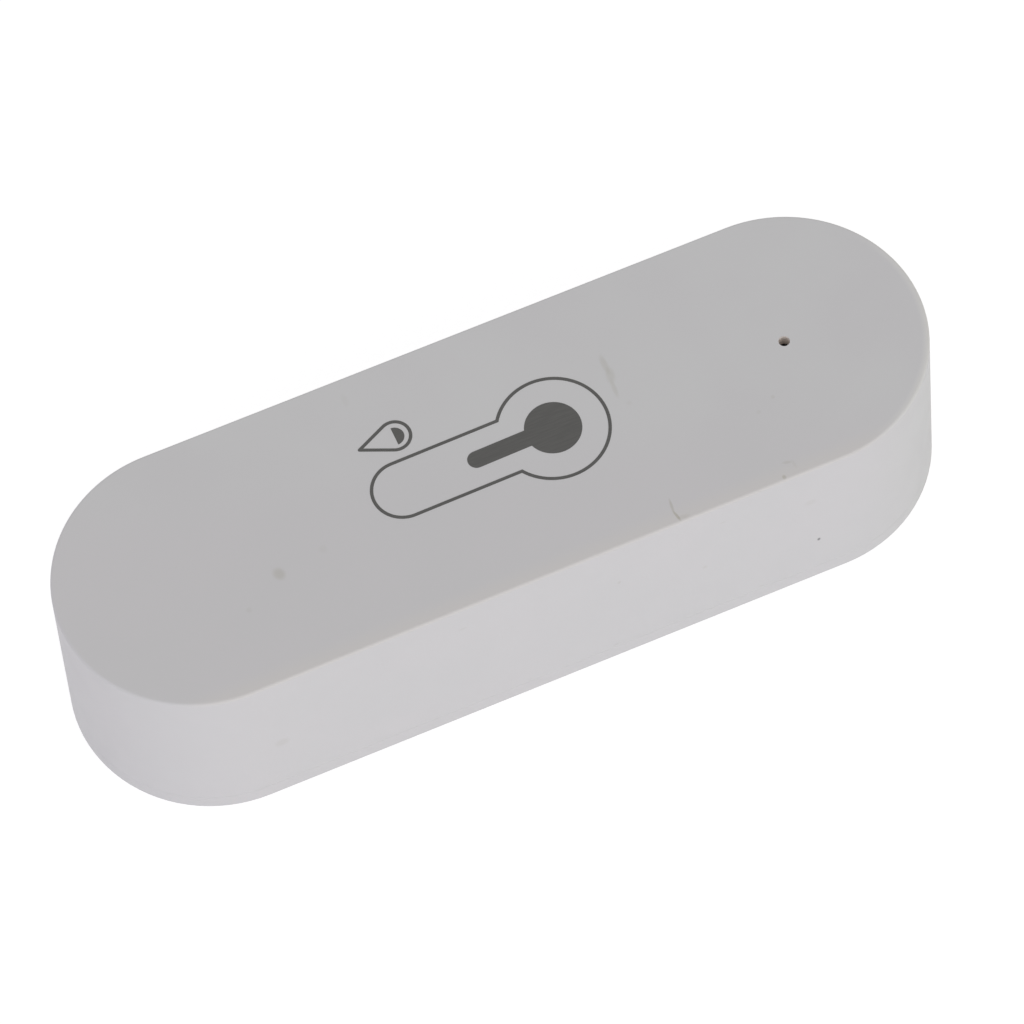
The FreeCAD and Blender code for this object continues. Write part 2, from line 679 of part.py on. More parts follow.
def make_contact_plate(name, low_x, low_y, high_y, tab=None, bump=None):
    """A sheet standing across the cells' end, with a solder tab and a pressed bump where asked."""
    body = new_body(name)
    sheet_low = "fits.carrier_bottom + dims.contact_gap"
    sheet_high = "fits.channel_top - dims.contact_gap"
    blank = new_sketch(body, "blank", "YZ_Plane", low_x)
    add_rectangle(blank, low_y, high_y, sheet_low, sheet_high)
    pad(body, blank, "dims.contact_sheet")
    if tab:
        tongue = new_sketch(body, "tab", "YZ_Plane", low_x)
        add_rectangle(tongue, f"{tab} - dims.contact_tab / 2", f"{tab} + dims.contact_tab / 2",
                      f"{sheet_high} - dims.contact_tab", "fits.board_top + dims.tab_rise")
        pad(body, tongue, "dims.contact_sheet")
    if bump:
        place_y, towards_minus_x = bump
        face = low_x if towards_minus_x else f"{low_x} + dims.contact_sheet"
        dome = new_sketch(body, "bump", "YZ_Plane", face)
        add_circle(dome, place_y, "fits.cell_axis", "dims.bump_radius")
        pad(body, dome, "dims.bump_height", backwards=towards_minus_x,
            taper="-atan((dims.bump_radius - dims.bump_tip_radius) / dims.bump_height)")


def arc_through(start, corner, end):
    """The arc from start to end whose tangents at both ends meet at corner."""
    middle = (start + end) / 2
    half_chord = (end - start).Length / 2
    turn = (corner - start).getAngle(end - start)
    top = middle + (corner - middle).normalize() * half_chord * math.tan(turn / 2)
    return Part.Arc(start, top, end).toShape()


def biarc(start, start_way, end, end_way):
    """Two arcs that join smoothly and leave and arrive along the given unit directions."""
    chord = end - start
    ways = start_way + end_way
    spread = 2 * (1 - start_way.dot(end_way))
    along = chord.dot(ways)
    reach = (-along + math.sqrt(along ** 2 + spread * chord.dot(chord))) / spread
    first_corner = start + start_way * reach
    second_corner = end - end_way * reach
    joint = (first_corner + second_corner) / 2
    return [arc_through(start, first_corner, joint), arc_through(joint, second_corner, end)]


WIRE_SIDES = 6
GAP_STEPS = 36


def make_spring(name, seat_x, place_y, direction):
    """A conical contact spring along X: wide turns on the plate, narrow ones on the cell."""
    wire = number("dims.spring_wire")
    base_radius = number("dims.spring_base_radius")
    tip_radius = number("dims.spring_tip_radius")
    turns = int(number("dims.spring_turns"))
    climb = number("dims.spring_height") - wire
    sweep = 2 * math.pi * turns

    def point(angle):
        share = angle / sweep
        radius = base_radius + (tip_radius - base_radius) * share
        return Vector(radius * math.cos(angle), radius * math.sin(angle), wire / 2 + climb * share)

    def way(angle):
        share = angle / sweep
        radius = base_radius + (tip_radius - base_radius) * share
        shrink = (tip_radius - base_radius) / sweep
        return Vector(
            shrink * math.cos(angle) - radius * math.sin(angle),
            shrink * math.sin(angle) + radius * math.cos(angle),
            climb / sweep).normalize()

    edges = []
    for step in range(4 * turns):
        start = step * math.pi / 2
        end = start + math.pi / 2
        edges += biarc(point(start), way(start), point(end), way(end))
    path = Part.Wire(edges)
    along = way(0)
    across = Vector(0, 0, 1).cross(along).normalize()
    up = along.cross(across)
    corners = []
    for corner in range(WIRE_SIDES + 1):
        angle = 2 * math.pi * corner / WIRE_SIDES
        corners.append(point(0) + across * (wire / 2 * math.cos(angle)) + up * (wire / 2 * math.sin(angle)))
    section = Part.makePolygon(corners)
    coil = path.makePipeShell([section], True, False)

    points = [point(2 * math.pi * step / GAP_STEPS) for step in range(turns * GAP_STEPS + 1)]
    gap = min(
        (first - second).Length - wire
        for index, first in enumerate(points)
        for second in points[index + GAP_STEPS // 2:])
    print(f"{name}: least gap to itself {gap:.2f} mm, volume {coil.Volume:.2f} mm3,"
          f" section times length {Part.Face(section).Area * path.Length:.2f} mm3")

    spring = doc.addObject("Part::Feature", name)
    spring.Shape = coil
    spring.Placement = FreeCAD.Placement(
        Vector(number(seat_x), number(place_y), number("fits.cell_axis")),
        FreeCAD.Rotation(Vector(0, 0, 1), Vector(direction, 0, 0)))
    finish_solid(spring, name)


def make_contacts():
    near_y = "-fits.cell_aside"
    far_y = "fits.cell_aside"
    make_contact_plate("link_contact_plate", "fits.sheet_left", "dims.contact_gap - fits.link_reach",
                       "fits.link_reach - dims.contact_gap", bump=(near_y, False))
    make_contact_plate("positive_contact_plate", "fits.bay_right", f"{far_y} - dims.contact_width / 2",
                       f"{far_y} + dims.contact_width / 2", tab=far_y, bump=(far_y, True))
    make_contact_plate("negative_contact_plate", "fits.bay_right", f"{near_y} - dims.contact_width / 2",
                       f"{near_y} + dims.contact_width / 2", tab=near_y)
    make_spring("link_contact_spring", "fits.bay_left", far_y, 1)
    make_spring("negative_contact_spring", "fits.bay_right", near_y, -1)


def make_main_board():
    body = new_body("main_board")
    outline = new_sketch(body, "outline", offset="fits.board_bottom")
    add_stadium(outline, "fits.board_radius")
    pad(body, outline, "dims.board_thickness")
    for name, place_x, place_y in BOSSES:
        notch = new_sketch(body, f"{name}_boss_notch", offset="fits.board_top")
        add_circle(notch, place_x, place_y, "fits.boss_notch")
        pocket(body, notch, "2 * dims.board_thickness")
    for name, place_y in CELL_SIDES:
        tab_slot = new_sketch(body, f"{name}_tab_slot", offset="fits.board_top")
        add_rectangle(tab_slot, "fits.bay_right - dims.contact_gap",
                      "fits.sheet_right + dims.contact_gap",
                      f"{place_y} - dims.contact_tab / 2 - dims.contact_gap",
                      f"{place_y} + dims.contact_tab / 2 + dims.contact_gap")
        pocket(body, tab_slot, "2 * dims.board_thickness")
    for index, place_x in enumerate(BOARD_SCREWS):
        hole = new_sketch(body, f"screw_hole_{index}", offset="fits.board_top")
        add_circle(hole, place_x, "0", "dims.board_screw_shank / 2 + dims.screw_clearance")
        pocket(body, hole, "2 * dims.board_thickness")

    # Slot that keeps the board's heat away from the sensor
    slot = new_sketch(body, "heat_slot", offset="fits.board_top")
    slot_end = "fits.sensor_place - dims.sensor_side / 2 - dims.board_slot"
    add_rectangle(slot, f"{slot_end} - dims.board_slot", slot_end,
                  "dims.sensor_aside - dims.sensor_side", "dims.sensor_aside + 2 * dims.sensor_side")
    pocket(body, slot, "2 * dims.board_thickness")


def make_radio():
    finish_solid(box("radio_board", ("fits.radio_place", "0", "fits.board_top"), "dims.radio_length",
                     "dims.radio_width", "dims.radio_thickness"), "radio_board")
    place_x = "fits.radio_place - (dims.radio_length - dims.shield_length) / 2 + dims.shield_inset"
    outer = box("shield_outer", (place_x, "0", "fits.radio_top"), "dims.shield_length",
                "dims.shield_width", "dims.shield_height")
    inner = box("shield_inner", (place_x, "0", "fits.radio_top"),
                "dims.shield_length - 2 * dims.shield_sheet", "dims.shield_width - 2 * dims.shield_sheet",
                "dims.shield_height - dims.shield_sheet")
    finish_solid(cut("radio_shield", outer, inner), "radio_shield")


def make_board_parts():
    finish_solid(box("indicator_led", ("fits.arc_centre", "0", "fits.board_top"), "dims.led_width",
                     "dims.led_length", "dims.led_height"), "indicator_led")
    finish_solid(box("regulator_chip", ("fits.button_place", "dims.regulator_aside",
                                        "fits.board_top"), "dims.regulator_width",
                     "dims.regulator_length", "dims.regulator_height"), "regulator_chip")
    capacitors = []
    near_gap = "(fits.near_screw + fits.radio_rib) / 2"
    far_gap = "(fits.radio_place + dims.radio_length / 2 + fits.far_screw) / 2"
    for column, place_x in enumerate((near_gap, far_gap)):
        for rung in (-2, -1, 1, 2):
            name = f"capacitor_{column}_{rung + 2}"
            place = (place_x, f"{rung} * dims.capacitor_pitch", "fits.board_top")
            capacitors.append(box(name, place, "dims.capacitor_width", "dims.capacitor_length",
                                  "dims.capacitor_height"))
    group("chip_capacitors", capacitors)
    resistors = []
    for column, place_x in enumerate(("fits.button_place - dims.resistor_aside",
                                      "fits.button_place + dims.resistor_aside / 2")):
        for rung in (1, 2, 3):
            name = f"resistor_{column}_{rung}"
            place = (place_x, f"-{rung} * dims.resistor_pitch", "fits.board_top")
            resistors.append(box(name, place, "dims.resistor_length", "dims.resistor_width",
                                 "dims.resistor_height"))
    group("chip_resistors", resistors)

    # Below the board: the sensor over its window, and the bulk capacitor
    sensor_place = ("fits.sensor_place", "dims.sensor_aside", "fits.board_bottom - dims.sensor_height")
    chip = box("sensor_chip", sensor_place, "dims.sensor_side", "dims.sensor_side", "dims.sensor_height")
    port = cylinder("sensor_port", sensor_place, "dims.sensor_port / 2", "dims.sensor_port_depth")
    finish_solid(cut("climate_sensor", chip, port), "climate_sensor")
    foot_place = ("fits.can_place", "-dims.can_aside", "fits.board_bottom - dims.can_foot_height")
    foot = box("can_foot", foot_place, "dims.can_diameter", "dims.can_diameter", "dims.can_foot_height")
    can = cylinder("can", ("fits.can_place", "-dims.can_aside", "fits.board_bottom - dims.can_height"),
                   "dims.can_diameter / 2", "dims.can_height")
    finish_solid(fuse("bulk_capacitor", foot, can), "bulk_capacitor")


def make_switch():
    place = ("fits.button_place", "0", "fits.switch_bottom")
    block = box("switch_block", place, "dims.switch_side", "dims.switch_side", "dims.switch_height")
    bore = cylinder("switch_bore", place, "dims.plunger_radius + dims.plunger_gap",
                    "dims.plunger_depth + dims.button_travel + dims.plunger_gap")
    finish_solid(cut("switch_body", block, bore), "switch_body")
    terminals = []
    for side_x, side_y in BEADS:
        terminal_place = (
            f"fits.button_place + {side_x} * (dims.switch_side + dims.terminal_length) / 2",
            f"{side_y} * (dims.switch_side / 2 - dims.terminal_width)",
            "fits.board_bottom - dims.terminal_sheet")
        terminals.append(box(f"terminal_{side_x + 1}{side_y + 1}", terminal_place,
                             "dims.terminal_length", "dims.terminal_width", "dims.terminal_sheet"))
    group("switch_terminals", terminals)
    finish_solid(cylinder("switch_plunger", ("fits.button_place", "0", "fits.plunger_bottom"),
                          "dims.plunger_radius", "dims.plunger_reach + dims.plunger_depth"),
                 "switch_plunger")


def make_pairing_button():
    body = new_body("pairing_button")
    profile = new_sketch(body, "profile", "XZ_Plane")
    low = "fits.carrier_bottom - dims.button_proud"
    flange_low = "fits.deck_top + dims.flange_gap"
    flange_high = f"{flange_low} + dims.flange_height"
    add_polygon(profile, (
        ("0", low),
        ("dims.button_radius", low),
        ("dims.button_radius", flange_low),
        ("dims.button_flange", flange_low),
        ("dims.button_flange", flange_high),
        ("dims.button_post", flange_high),
        ("dims.button_post", "fits.plunger_bottom"),
        ("0", "fits.plunger_bottom"),
    ))
    revolve(body, profile, "V_Axis")
    body.setExpression("Placement.Base.x", "fits.button_place")


def make_carrier_screws():
    screws = []
    for name, place_x, place_y in BOSSES:
        head = cylinder(f"{name}_screw_head", (place_x, place_y, "fits.carrier_bottom"),
                        "dims.screw_head / 2", "dims.screw_head_height")
        shank = cylinder(f"{name}_screw_shank", (place_x, place_y, "fits.carrier_bottom"),
                         "dims.screw_shank / 2", "dims.screw_head_height + dims.carrier_screw_length")
        screws.append(fuse(f"{name}_screw", head, shank))
    group("carrier_screws", screws)


def make_board_screws():
    screws = []
    for index, place_x in enumerate(BOARD_SCREWS):
        head = cylinder(f"board_screw_head_{index}", (place_x, "0", "fits.board_top"),
                        "dims.board_screw_head / 2", "dims.screw_head_height")
        grip = "dims.board_thickness + dims.board_screw_grip"
        shank = cylinder(f"board_screw_shank_{index}", (place_x, "0", f"fits.board_top - ({grip})"),
                         "dims.board_screw_shank / 2", grip)
        screws.append(fuse(f"board_screw_{index}", head, shank))
    group("board_screws", screws)


make_back_cover()
make_top_cover()
make_battery_carrier()
make_cell("battery_cell_1", "fits.bay_left + dims.spring_height", "fits.cell_aside", 1)
make_cell("battery_cell_2", "fits.bay_right - dims.spring_height", "-fits.cell_aside", -1)
make_contacts()
make_main_board()
make_radio()
make_board_parts()
make_switch()
make_pairing_button()
make_carrier_screws()
make_board_screws()
doc.recompute()

# Check everything, then write each sub-part to its own file
for item in doc.Objects:
    if "Invalid" in item.State or "Error" in item.State:
        raise RuntimeError(f"{item.Label} failed: {item.State}")
for item in subparts:
    if item.Shape.isNull() or not item.Shape.isValid() or item.Shape.Volume <= 0:
        raise RuntimeError(f"{item.Label} has no valid solid")

os.makedirs("parts", exist_ok=True)
for item in subparts:
    item.Shape.exportStep(f"parts/{item.Label}.step")
    print(f"{item.Label}: {len(item.Shape.Solids)} solids, {item.Shape.Volume:.1f} mm3")
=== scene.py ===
import json
from math import asin, atan2, cos, hypot, pi, radians, sin, tan

import bmesh
import bpy
from mathutils import Matrix, Quaternion, Vector


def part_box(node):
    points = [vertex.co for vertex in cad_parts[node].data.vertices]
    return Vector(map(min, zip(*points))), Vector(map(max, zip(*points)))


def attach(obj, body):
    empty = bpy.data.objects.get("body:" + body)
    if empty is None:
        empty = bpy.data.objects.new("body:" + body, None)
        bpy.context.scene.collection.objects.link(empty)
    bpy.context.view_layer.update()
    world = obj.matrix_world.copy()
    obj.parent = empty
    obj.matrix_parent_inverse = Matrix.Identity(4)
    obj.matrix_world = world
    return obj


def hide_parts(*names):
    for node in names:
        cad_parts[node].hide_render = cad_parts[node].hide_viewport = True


# A pill-shaped climate sensor lying on its back, +X towards the indicator hole, +Z out of the front.
# The scene is in metres. Sizes and places are named in mm, apart from the floor's and the softbox's.

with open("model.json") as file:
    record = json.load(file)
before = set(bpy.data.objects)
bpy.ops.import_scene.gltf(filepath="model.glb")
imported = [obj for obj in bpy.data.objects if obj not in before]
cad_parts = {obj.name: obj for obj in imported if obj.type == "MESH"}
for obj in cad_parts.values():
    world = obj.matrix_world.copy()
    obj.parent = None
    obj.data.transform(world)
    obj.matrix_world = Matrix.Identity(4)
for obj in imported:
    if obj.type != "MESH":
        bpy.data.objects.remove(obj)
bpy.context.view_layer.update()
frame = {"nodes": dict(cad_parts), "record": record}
nodes = frame["nodes"]
scene = bpy.context.scene
MM = 0.001


def box_mm(node):
    """The corners of a solid's box in mm."""
    low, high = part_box(node)
    return low / MM, high / MM


# The outline and levels of the covers in mm, read from the solids
HALF_WIDTH = box_mm("back_cover")[1].y
ARC_CENTRE = box_mm("back_cover")[1].x - HALF_WIDTH
SEAM = box_mm("top_cover")[0].z
FRONT = box_mm("top_cover")[1].z
DRAFT = radians(1.0)


def wall_radius(height):
    """Distance of the outer wall from the line between the arc centres."""
    return HALF_WIDTH - tan(DRAFT) * height


def arc(centre, radius, start, end, steps):
    """Points on an arc, from one angle to the other."""
    angles = [start + (end - start) * step / steps for step in range(steps + 1)]
    return [(centre[0] + radius * cos(angle), centre[1] + radius * sin(angle)) for angle in angles]


def disc(centre, radius, steps=24):
    return arc(centre, radius, 0.0, 2 * pi, steps)[:-1]


def stadium(radius, steps):
    """Points round two half circles of this radius, from the lower right, anticlockwise."""
    quarter = pi / 2
    right = arc((ARC_CENTRE, 0.0), radius, -quarter, quarter, steps)
    return right + arc((-ARC_CENTRE, 0.0), radius, quarter, 3 * quarter, steps)


def rectangle(left, front, right, back):
    return [(left, front), (right, front), (right, back), (left, back)]


def link_object(name, data):
    thing = bpy.data.objects.new(name, data)
    scene.collection.objects.link(thing)
    return thing


# Building blocks for node trees

def join(tree, value, target):
    """Link a socket to the target, or set a plain value on it."""
    if isinstance(value, bpy.types.NodeSocket):
        tree.links.new(value, target)
    else:
        target.default_value = value


def add_node(tree, kind, inputs=None, **settings):
    """Add a node with these settings, its inputs linked or set, and return its outputs."""
    node = tree.nodes.new(kind)
    for name, value in settings.items():
        setattr(node, name, value)
    for key, value in (inputs or {}).items():
        join(tree, value, node.inputs[key])
    return node.outputs


def grey(level):
    return (level, level, level, 1)


# Camera, floor, world and lamps

CAMERA_PLACE = (-84.081, -262.673, 524.281)
CAMERA_HEADING = radians(17.9958)
CAMERA_DOWN = radians(61.8565)
CAMERA_ROLL = radians(5.7089)
CAMERA_LENS = 237.45
CAMERA_SENSOR = 36.0

FLOOR_REACH = 1.5
FLOOR_DROP = 0.05 * MM
FLOOR_COLOUR = 0.86
FLOOR_GLOW = 0.74
FLOOR_SHADE = 0.46
FLOOR_OPEN = 0.3 * MM

SKY_HORIZON = 0.80
SKY_TOP = 0.535
SKY_BELOW = 0.82
SKY_LEFT = (1.0, 0.98, 1.075, 1)
SKY_MIDDLE = (1.06, 1.05, 1.057, 1)
SKY_RIGHT = (0.85, 0.852, 0.795, 1)
SOFTBOX_TURN = radians(1.0)
SOFTBOX_RISE = radians(16.0)
SOFTBOX_DISTANCE = 1.2
SOFTBOX_SIZE = (1.6, 0.5)
SOFTBOX_POWER = 4.27
SOFTBOX_COLOUR = (0.97, 0.965, 1.0)


def aimed(name, data, heading, down, roll=0.0):
    """An object that looks along +Y, turned towards +X, tipped down and rolled; and that direction."""
    level = cos(down)
    way = Vector((level * sin(heading), level * cos(heading), -sin(down)))
    thing = link_object(name, data)
    thing.rotation_mode = "QUATERNION"
    thing.rotation_quaternion = way.to_track_quat("-Z", "Y") @ Quaternion((0, 0, 1), -roll)
    return thing, way


def place_camera():
    data = bpy.data.cameras.new("camera")
    data.lens = CAMERA_LENS
    data.sensor_width = CAMERA_SENSOR
    data.clip_start = 0.01
    data.clip_end = 10.0
    camera, _ = aimed("camera", data, CAMERA_HEADING, CAMERA_DOWN, CAMERA_ROLL)
    camera.location = Vector(CAMERA_PLACE) * MM
    scene.camera = camera


def make_softbox():
    """A wide, low lamp on the camera's side, so that the front wall is lighter than the top."""
    data = bpy.data.lights.new("softbox", "AREA")
    data.shape = "RECTANGLE"
    data.size, data.size_y = SOFTBOX_SIZE
    data.energy = SOFTBOX_POWER
    data.color = SOFTBOX_COLOUR
    lamp, way = aimed("softbox", data, SOFTBOX_TURN, SOFTBOX_RISE)
    lamp.location = -way * SOFTBOX_DISTANCE


def plainly_seen(tree):
    """A socket that is 1 where the camera sees a surface directly, mirrored or through glass."""
    path = add_node(tree, "ShaderNodeLightPath")
    seen = path["Is Camera Ray"]
    for ray in ("Is Glossy Ray", "Is Transmission Ray"):
        seen = add_node(tree, "ShaderNodeMath", {0: seen, 1: path[ray]}, operation="MAXIMUM")[0]
    return seen


def sky_ramp(tree, value, *stops):
    """Colours for a value from -1 to 1, from stops that each have a position from 0 to 1 and a colour."""
    ramp = tree.nodes.new("ShaderNodeValToRGB")
    share = add_node(tree, "ShaderNodeMapRange", {"Value": value, "From Min": -1.0})[0]
    tree.links.new(share, ramp.inputs[0])
    elements = ramp.color_ramp.elements
    for position, _ in stops[1:-1]:
        elements.new(position)
    for index in reversed(range(len(stops))):
        elements[index].position, elements[index].color = stops[index]
    return ramp.outputs[0]


def make_world():
    """Light that is dimmer from above and tinted from side to side. The camera sees plain white."""
    world = bpy.data.worlds.new("studio")
    world.use_nodes = True
    scene.world = world
    tree = world.node_tree
    tree.nodes.clear()
    way = add_node(tree, "ShaderNodeSeparateXYZ", {0: add_node(tree, "ShaderNodeTexCoord")["Generated"]})
    levels = sky_ramp(tree, way["Z"], (0.49, grey(SKY_BELOW)), (0.5, grey(SKY_HORIZON)), (1.0, grey(SKY_TOP)))
    sides = sky_ramp(tree, way["X"], (0.0, SKY_LEFT), (0.5, SKY_MIDDLE), (1.0, SKY_RIGHT))
    tinted = add_node(
        tree, "ShaderNodeMix", {0: 1.0, 6: levels, 7: sides}, data_type="RGBA", blend_type="MULTIPLY")[2]
    light = add_node(tree, "ShaderNodeBackground", {"Color": tinted})[0]
    white = add_node(tree, "ShaderNodeBackground", {"Color": grey(1.0)})[0]
    mixed = add_node(tree, "ShaderNodeMixShader", {0: plainly_seen(tree), 1: light, 2: white})[0]
    add_node(tree, "ShaderNodeOutputWorld", {"Surface": mixed})


def make_floor():
    """A white floor that keeps a faint shadow. It is clear from below, and for light to the underside."""
    mesh = bpy.data.meshes.new("floor")
    corners = rectangle(-FLOOR_REACH, -FLOOR_REACH, FLOOR_REACH, FLOOR_REACH)
    mesh.from_pydata([(x, y, -FLOOR_DROP) for x, y in corners], [], [(0, 1, 2, 3)])
    material = bpy.data.materials.new("floor_white")
    material.use_nodes = True
    tree = material.node_tree
    tree.nodes.clear()
    matte = add_node(tree, "ShaderNodeBsdfDiffuse", {"Color": grey(FLOOR_COLOUR)})[0]
    shade = add_node(tree, "ShaderNodeBsdfDiffuse", {"Color": grey(FLOOR_SHADE)})[0]
    glow = add_node(tree, "ShaderNodeEmission", {"Color": grey(1.0), "Strength": FLOOR_GLOW})[0]
    seen = add_node(tree, "ShaderNodeAddShader", {0: shade, 1: glow})[0]
    solid = add_node(tree, "ShaderNodeMixShader", {0: plainly_seen(tree), 1: matte, 2: seen})[0]
    reach = add_node(tree, "ShaderNodeLightPath")["Ray Length"]
    near = add_node(tree, "ShaderNodeMath", {0: reach, 1: FLOOR_OPEN}, operation="LESS_THAN")[0]
    from_below = add_node(tree, "ShaderNodeNewGeometry")["Backfacing"]
    is_open = add_node(tree, "ShaderNodeMath", {0: near, 1: from_below}, operation="MAXIMUM")[0]
    clear = add_node(tree, "ShaderNodeBsdfTransparent")[0]
    both = add_node(tree, "ShaderNodeMixShader", {0: is_open, 1: solid, 2: clear})[0]
    add_node(tree, "ShaderNodeOutputMaterial", {"Surface": both})
    mesh.materials.append(material)
    link_object("floor", mesh)


scene.view_settings.view_transform = "Standard"
place_camera()
make_world()
make_floor()
make_softbox()


# Building blocks for materials. Patterns are laid out in millimetres.

MATERIALS = {}


class Finish:
    """A material under construction: its node tree, its shader's inputs and the place on the object in mm."""

    def __init__(self, name, roughness, metallic=0.0):
        material = bpy.data.materials.new(name)
        material.use_nodes = True
        MATERIALS[name] = material
        self.tree = material.node_tree
        self.shader = self.tree.nodes["Principled BSDF"].inputs
        self.give("Roughness", roughness)
        self.give("Metallic", metallic)
        self.place = self.seen_from(self.add("ShaderNodeTexCoord")["Object"], unit=(MM, MM, MM))

    def add(self, kind, inputs=None, **settings):
        return add_node(self.tree, kind, inputs, **settings)

    def give(self, name, value):
        """Link or set one of the shader's inputs."""
        join(self.tree, value, self.shader[name])

    def seen_from(self, place, centre=(0, 0, 0), unit=(1, 1, 1), turn=0.0):
        """The place measured from a centre, along axes turned about Z, in the given units."""
        inputs = {"Vector": place, "Location": centre, "Rotation": (0, 0, turn), "Scale": unit}
        return self.add("ShaderNodeMapping", inputs, vector_type="TEXTURE")[0]

    def reckon(self, operation, first, second):
        return self.add("ShaderNodeMath", {0: first, 1: second}, operation=operation)[0]

    def times(self, first, second):
        return self.reckon("MULTIPLY", first, second)

    def length(self, place):
        return self.add("ShaderNodeVectorMath", {0: place}, operation="LENGTH")["Value"]

    def split(self, place):
        return self.add("ShaderNodeSeparateXYZ", {0: place})

    def noise(self, scale, detail=2.0, unit=None):
        """Soft noise over the place, which a unit may stretch."""
        place = self.seen_from(self.place, unit=unit) if unit else self.place
        return self.add("ShaderNodeTexNoise", {"Vector": place, "Scale": scale, "Detail": detail})[0]

    def step(self, value, low, high, from_value=0.0, to_value=1.0):
        """A smooth step from from_value at low to to_value at high."""
        return self.add("ShaderNodeMapRange", {
            "Value": value, "From Min": low, "From Max": high, "To Min": from_value, "To Max": to_value},
            interpolation_type="SMOOTHSTEP")[0]

    def fall(self, value, low, high):
        """A smooth step down, from 1 at low to 0 at high."""
        return self.step(value, low, high, 1.0, 0.0)

    def cloud(self, noise, from_value=0.0, to_value=1.0):
        """A noise spread between two values over its usual range."""
        return self.step(noise, 0.3, 0.7, from_value, to_value)

    def specks(self, spacing, size):
        """Sparse round specks: 1 in the middle of a speck, 0 outside."""
        distance = self.add("ShaderNodeTexVoronoi", {"Vector": self.place, "Scale": 1 / spacing})["Distance"]
        return self.fall(distance, 0.4 * size / spacing, size / spacing)

    def mix(self, share, first, second):
        """The first colour where share is 0, the second where it is 1."""
        return self.add("ShaderNodeMix", {0: share, 6: first, 7: second}, data_type="RGBA")[2]

    def spot(self, centre, reach, turn=0.0):
        """1 in the middle of an oval spot with the given half-axes, falling to 0 at its edge."""
        return self.fall(self.length(self.seen_from(self.place, centre, reach, turn)), 0.3, 1.0)

    def coat(self, weight, roughness):
        self.give("Coat Weight", weight)
        self.give("Coat Roughness", roughness)

    def bump(self, height, depth):
        """Raise the surface by height times depth in mm."""
        self.give("Normal", self.add("ShaderNodeBump", {"Height": height, "Distance": depth * MM})[0])


COVER_WHITE = (0.690, 0.680, 0.684, 1)
COVER_WHITE_FAR = (0.695, 0.696, 0.693, 1)
COVER_WHITE_DEEP = (0.682, 0.677, 0.679, 1)
# A painted highlight along the near edge of the front face
COVER_PAINTED_EDGE_HIGHLIGHT = (0.712, 0.694, 0.676, 1)
# A painted highlight round the right-hand end of the front face
COVER_PAINTED_RIM_HIGHLIGHT = (0.75, 0.745, 0.725, 1)
# Painted light on the pinhole's wall
HOLE_PAINTED_LIGHT = (0.85, 0.785, 0.73, 1)
# Painted shade deep in the pinhole and in the well under it
HOLE_PAINTED_SHADE = (0.03, 0.03, 0.03, 1)
RUB_GREY = (0.42, 0.40, 0.31, 1)
DOT_GREY = (0.28, 0.28, 0.28, 1)

# Faint rubs on the front face: X and Y of the centre, half-axes along X, Y and Z in mm, turn, strength
FRONT_RUBS = (
    (-20.85, -2.9, 0.7, 0.85, 0.5, 20, 0.3),
    (-16.56, -2.23, 0.5, 0.5, 0.5, 0, 0.07),
    (-24.47, -5.03, 0.35, 0.35, 0.5, 0, 0.10),
    (-9.4, 10.3, 0.4, 0.9, 0.5, 0, 0.06),
    (12.26, 4.31, 0.4, 1.3, 0.5, -1, 0.22),
    (12.3, 3.1, 0.55, 1.1, 0.5, -14, 0.2),
    (12.1, 1.75, 0.3, 1.2, 0.5, -3, 0.19),
    (12.68, -0.04, 0.35, 0.3, 0.5, 0, 0.08),
    (11.98, -10.7, 0.17, 1.0, 0.4, -7, 0.34),
    (12.02, -11.75, 0.17, 0.75, 0.4, 12, 0.5),
    (12.5, -12.05, 0.75, 0.3, 0.5, -8, 0.15),
    (21.8, -12.1, 0.25, 0.3, 0.4, 0, 0.4),
    (22.6, -10.9, 0.55, 0.2, 0.4, -15, 0.2),
    (23.1, -11.3, 0.2, 0.6, 0.4, 5, 0.1),
    (24.1, -4.6, 0.25, 0.25, 0.4, 0, 0.14),
    (22.4, -5.45, 0.3, 0.25, 0.4, 0, 0.1),
)
# Smudges on the wall: the centre, half-axes along X and Z in mm, strength
WALL_RUBS = (
    ((-25.4, -12.7, 8.6), 0.9, 0.8, 0.12),
    ((6.1, -12.6, 12.9), 0.25, 0.3, 0.16),
    ((14.0, -12.6, 9.6), 0.3, 0.3, 0.14),
    ((24.0, -12.6, 13.5), 0.8, 0.6, 0.08),
    ((-8.2, -12.5, 15.7), 0.5, 0.25, 0.10),
    ((15.9, -12.5, 16.1), 0.4, 0.2, 0.10),
    ((5.4, -12.8, 2.2), 0.4, 0.2, 0.10),
    ((19.1, -12.8, 2.2), 0.4, 0.2, 0.10),
)
DARK_DOT = ((24.67, -12.65, 6.46), (0.21, 1.0, 0.3))
SPECK_SPACING = 5.5
SPECK_SIZE = 0.09
SPECK_STRENGTH = 0.12
HOLE_RADIUS = 0.51
WELL_RADIUS = 0.95
# Where the cover's shades start and end, the painted highlights and the pinhole's painted light and shade
# among them
DRIFT_SPAN = (-5.0, 3.0)
FRONT_FACE = (18.7, 18.9)
# Where the painted highlight along the near edge fades out
NEAR_EDGE_HIGHLIGHT = (-12.5, -10.4)
# Where the painted highlight round the right-hand end lies
RIM_HIGHLIGHT_OUT = (11.7, 12.3)
RIM_HIGHLIGHT_END = (29.0, 35.0)
RIM_HIGHLIGHT_SIDE = (2.0, 9.0)
HOLE_TOP = (18.94, 18.98)
# Depths over which the pinhole's painted shade turns to painted light
HOLE_PAINTED_FADE = (17.5, 17.75)
WELL_FLOOR = (14.0, 15.0)


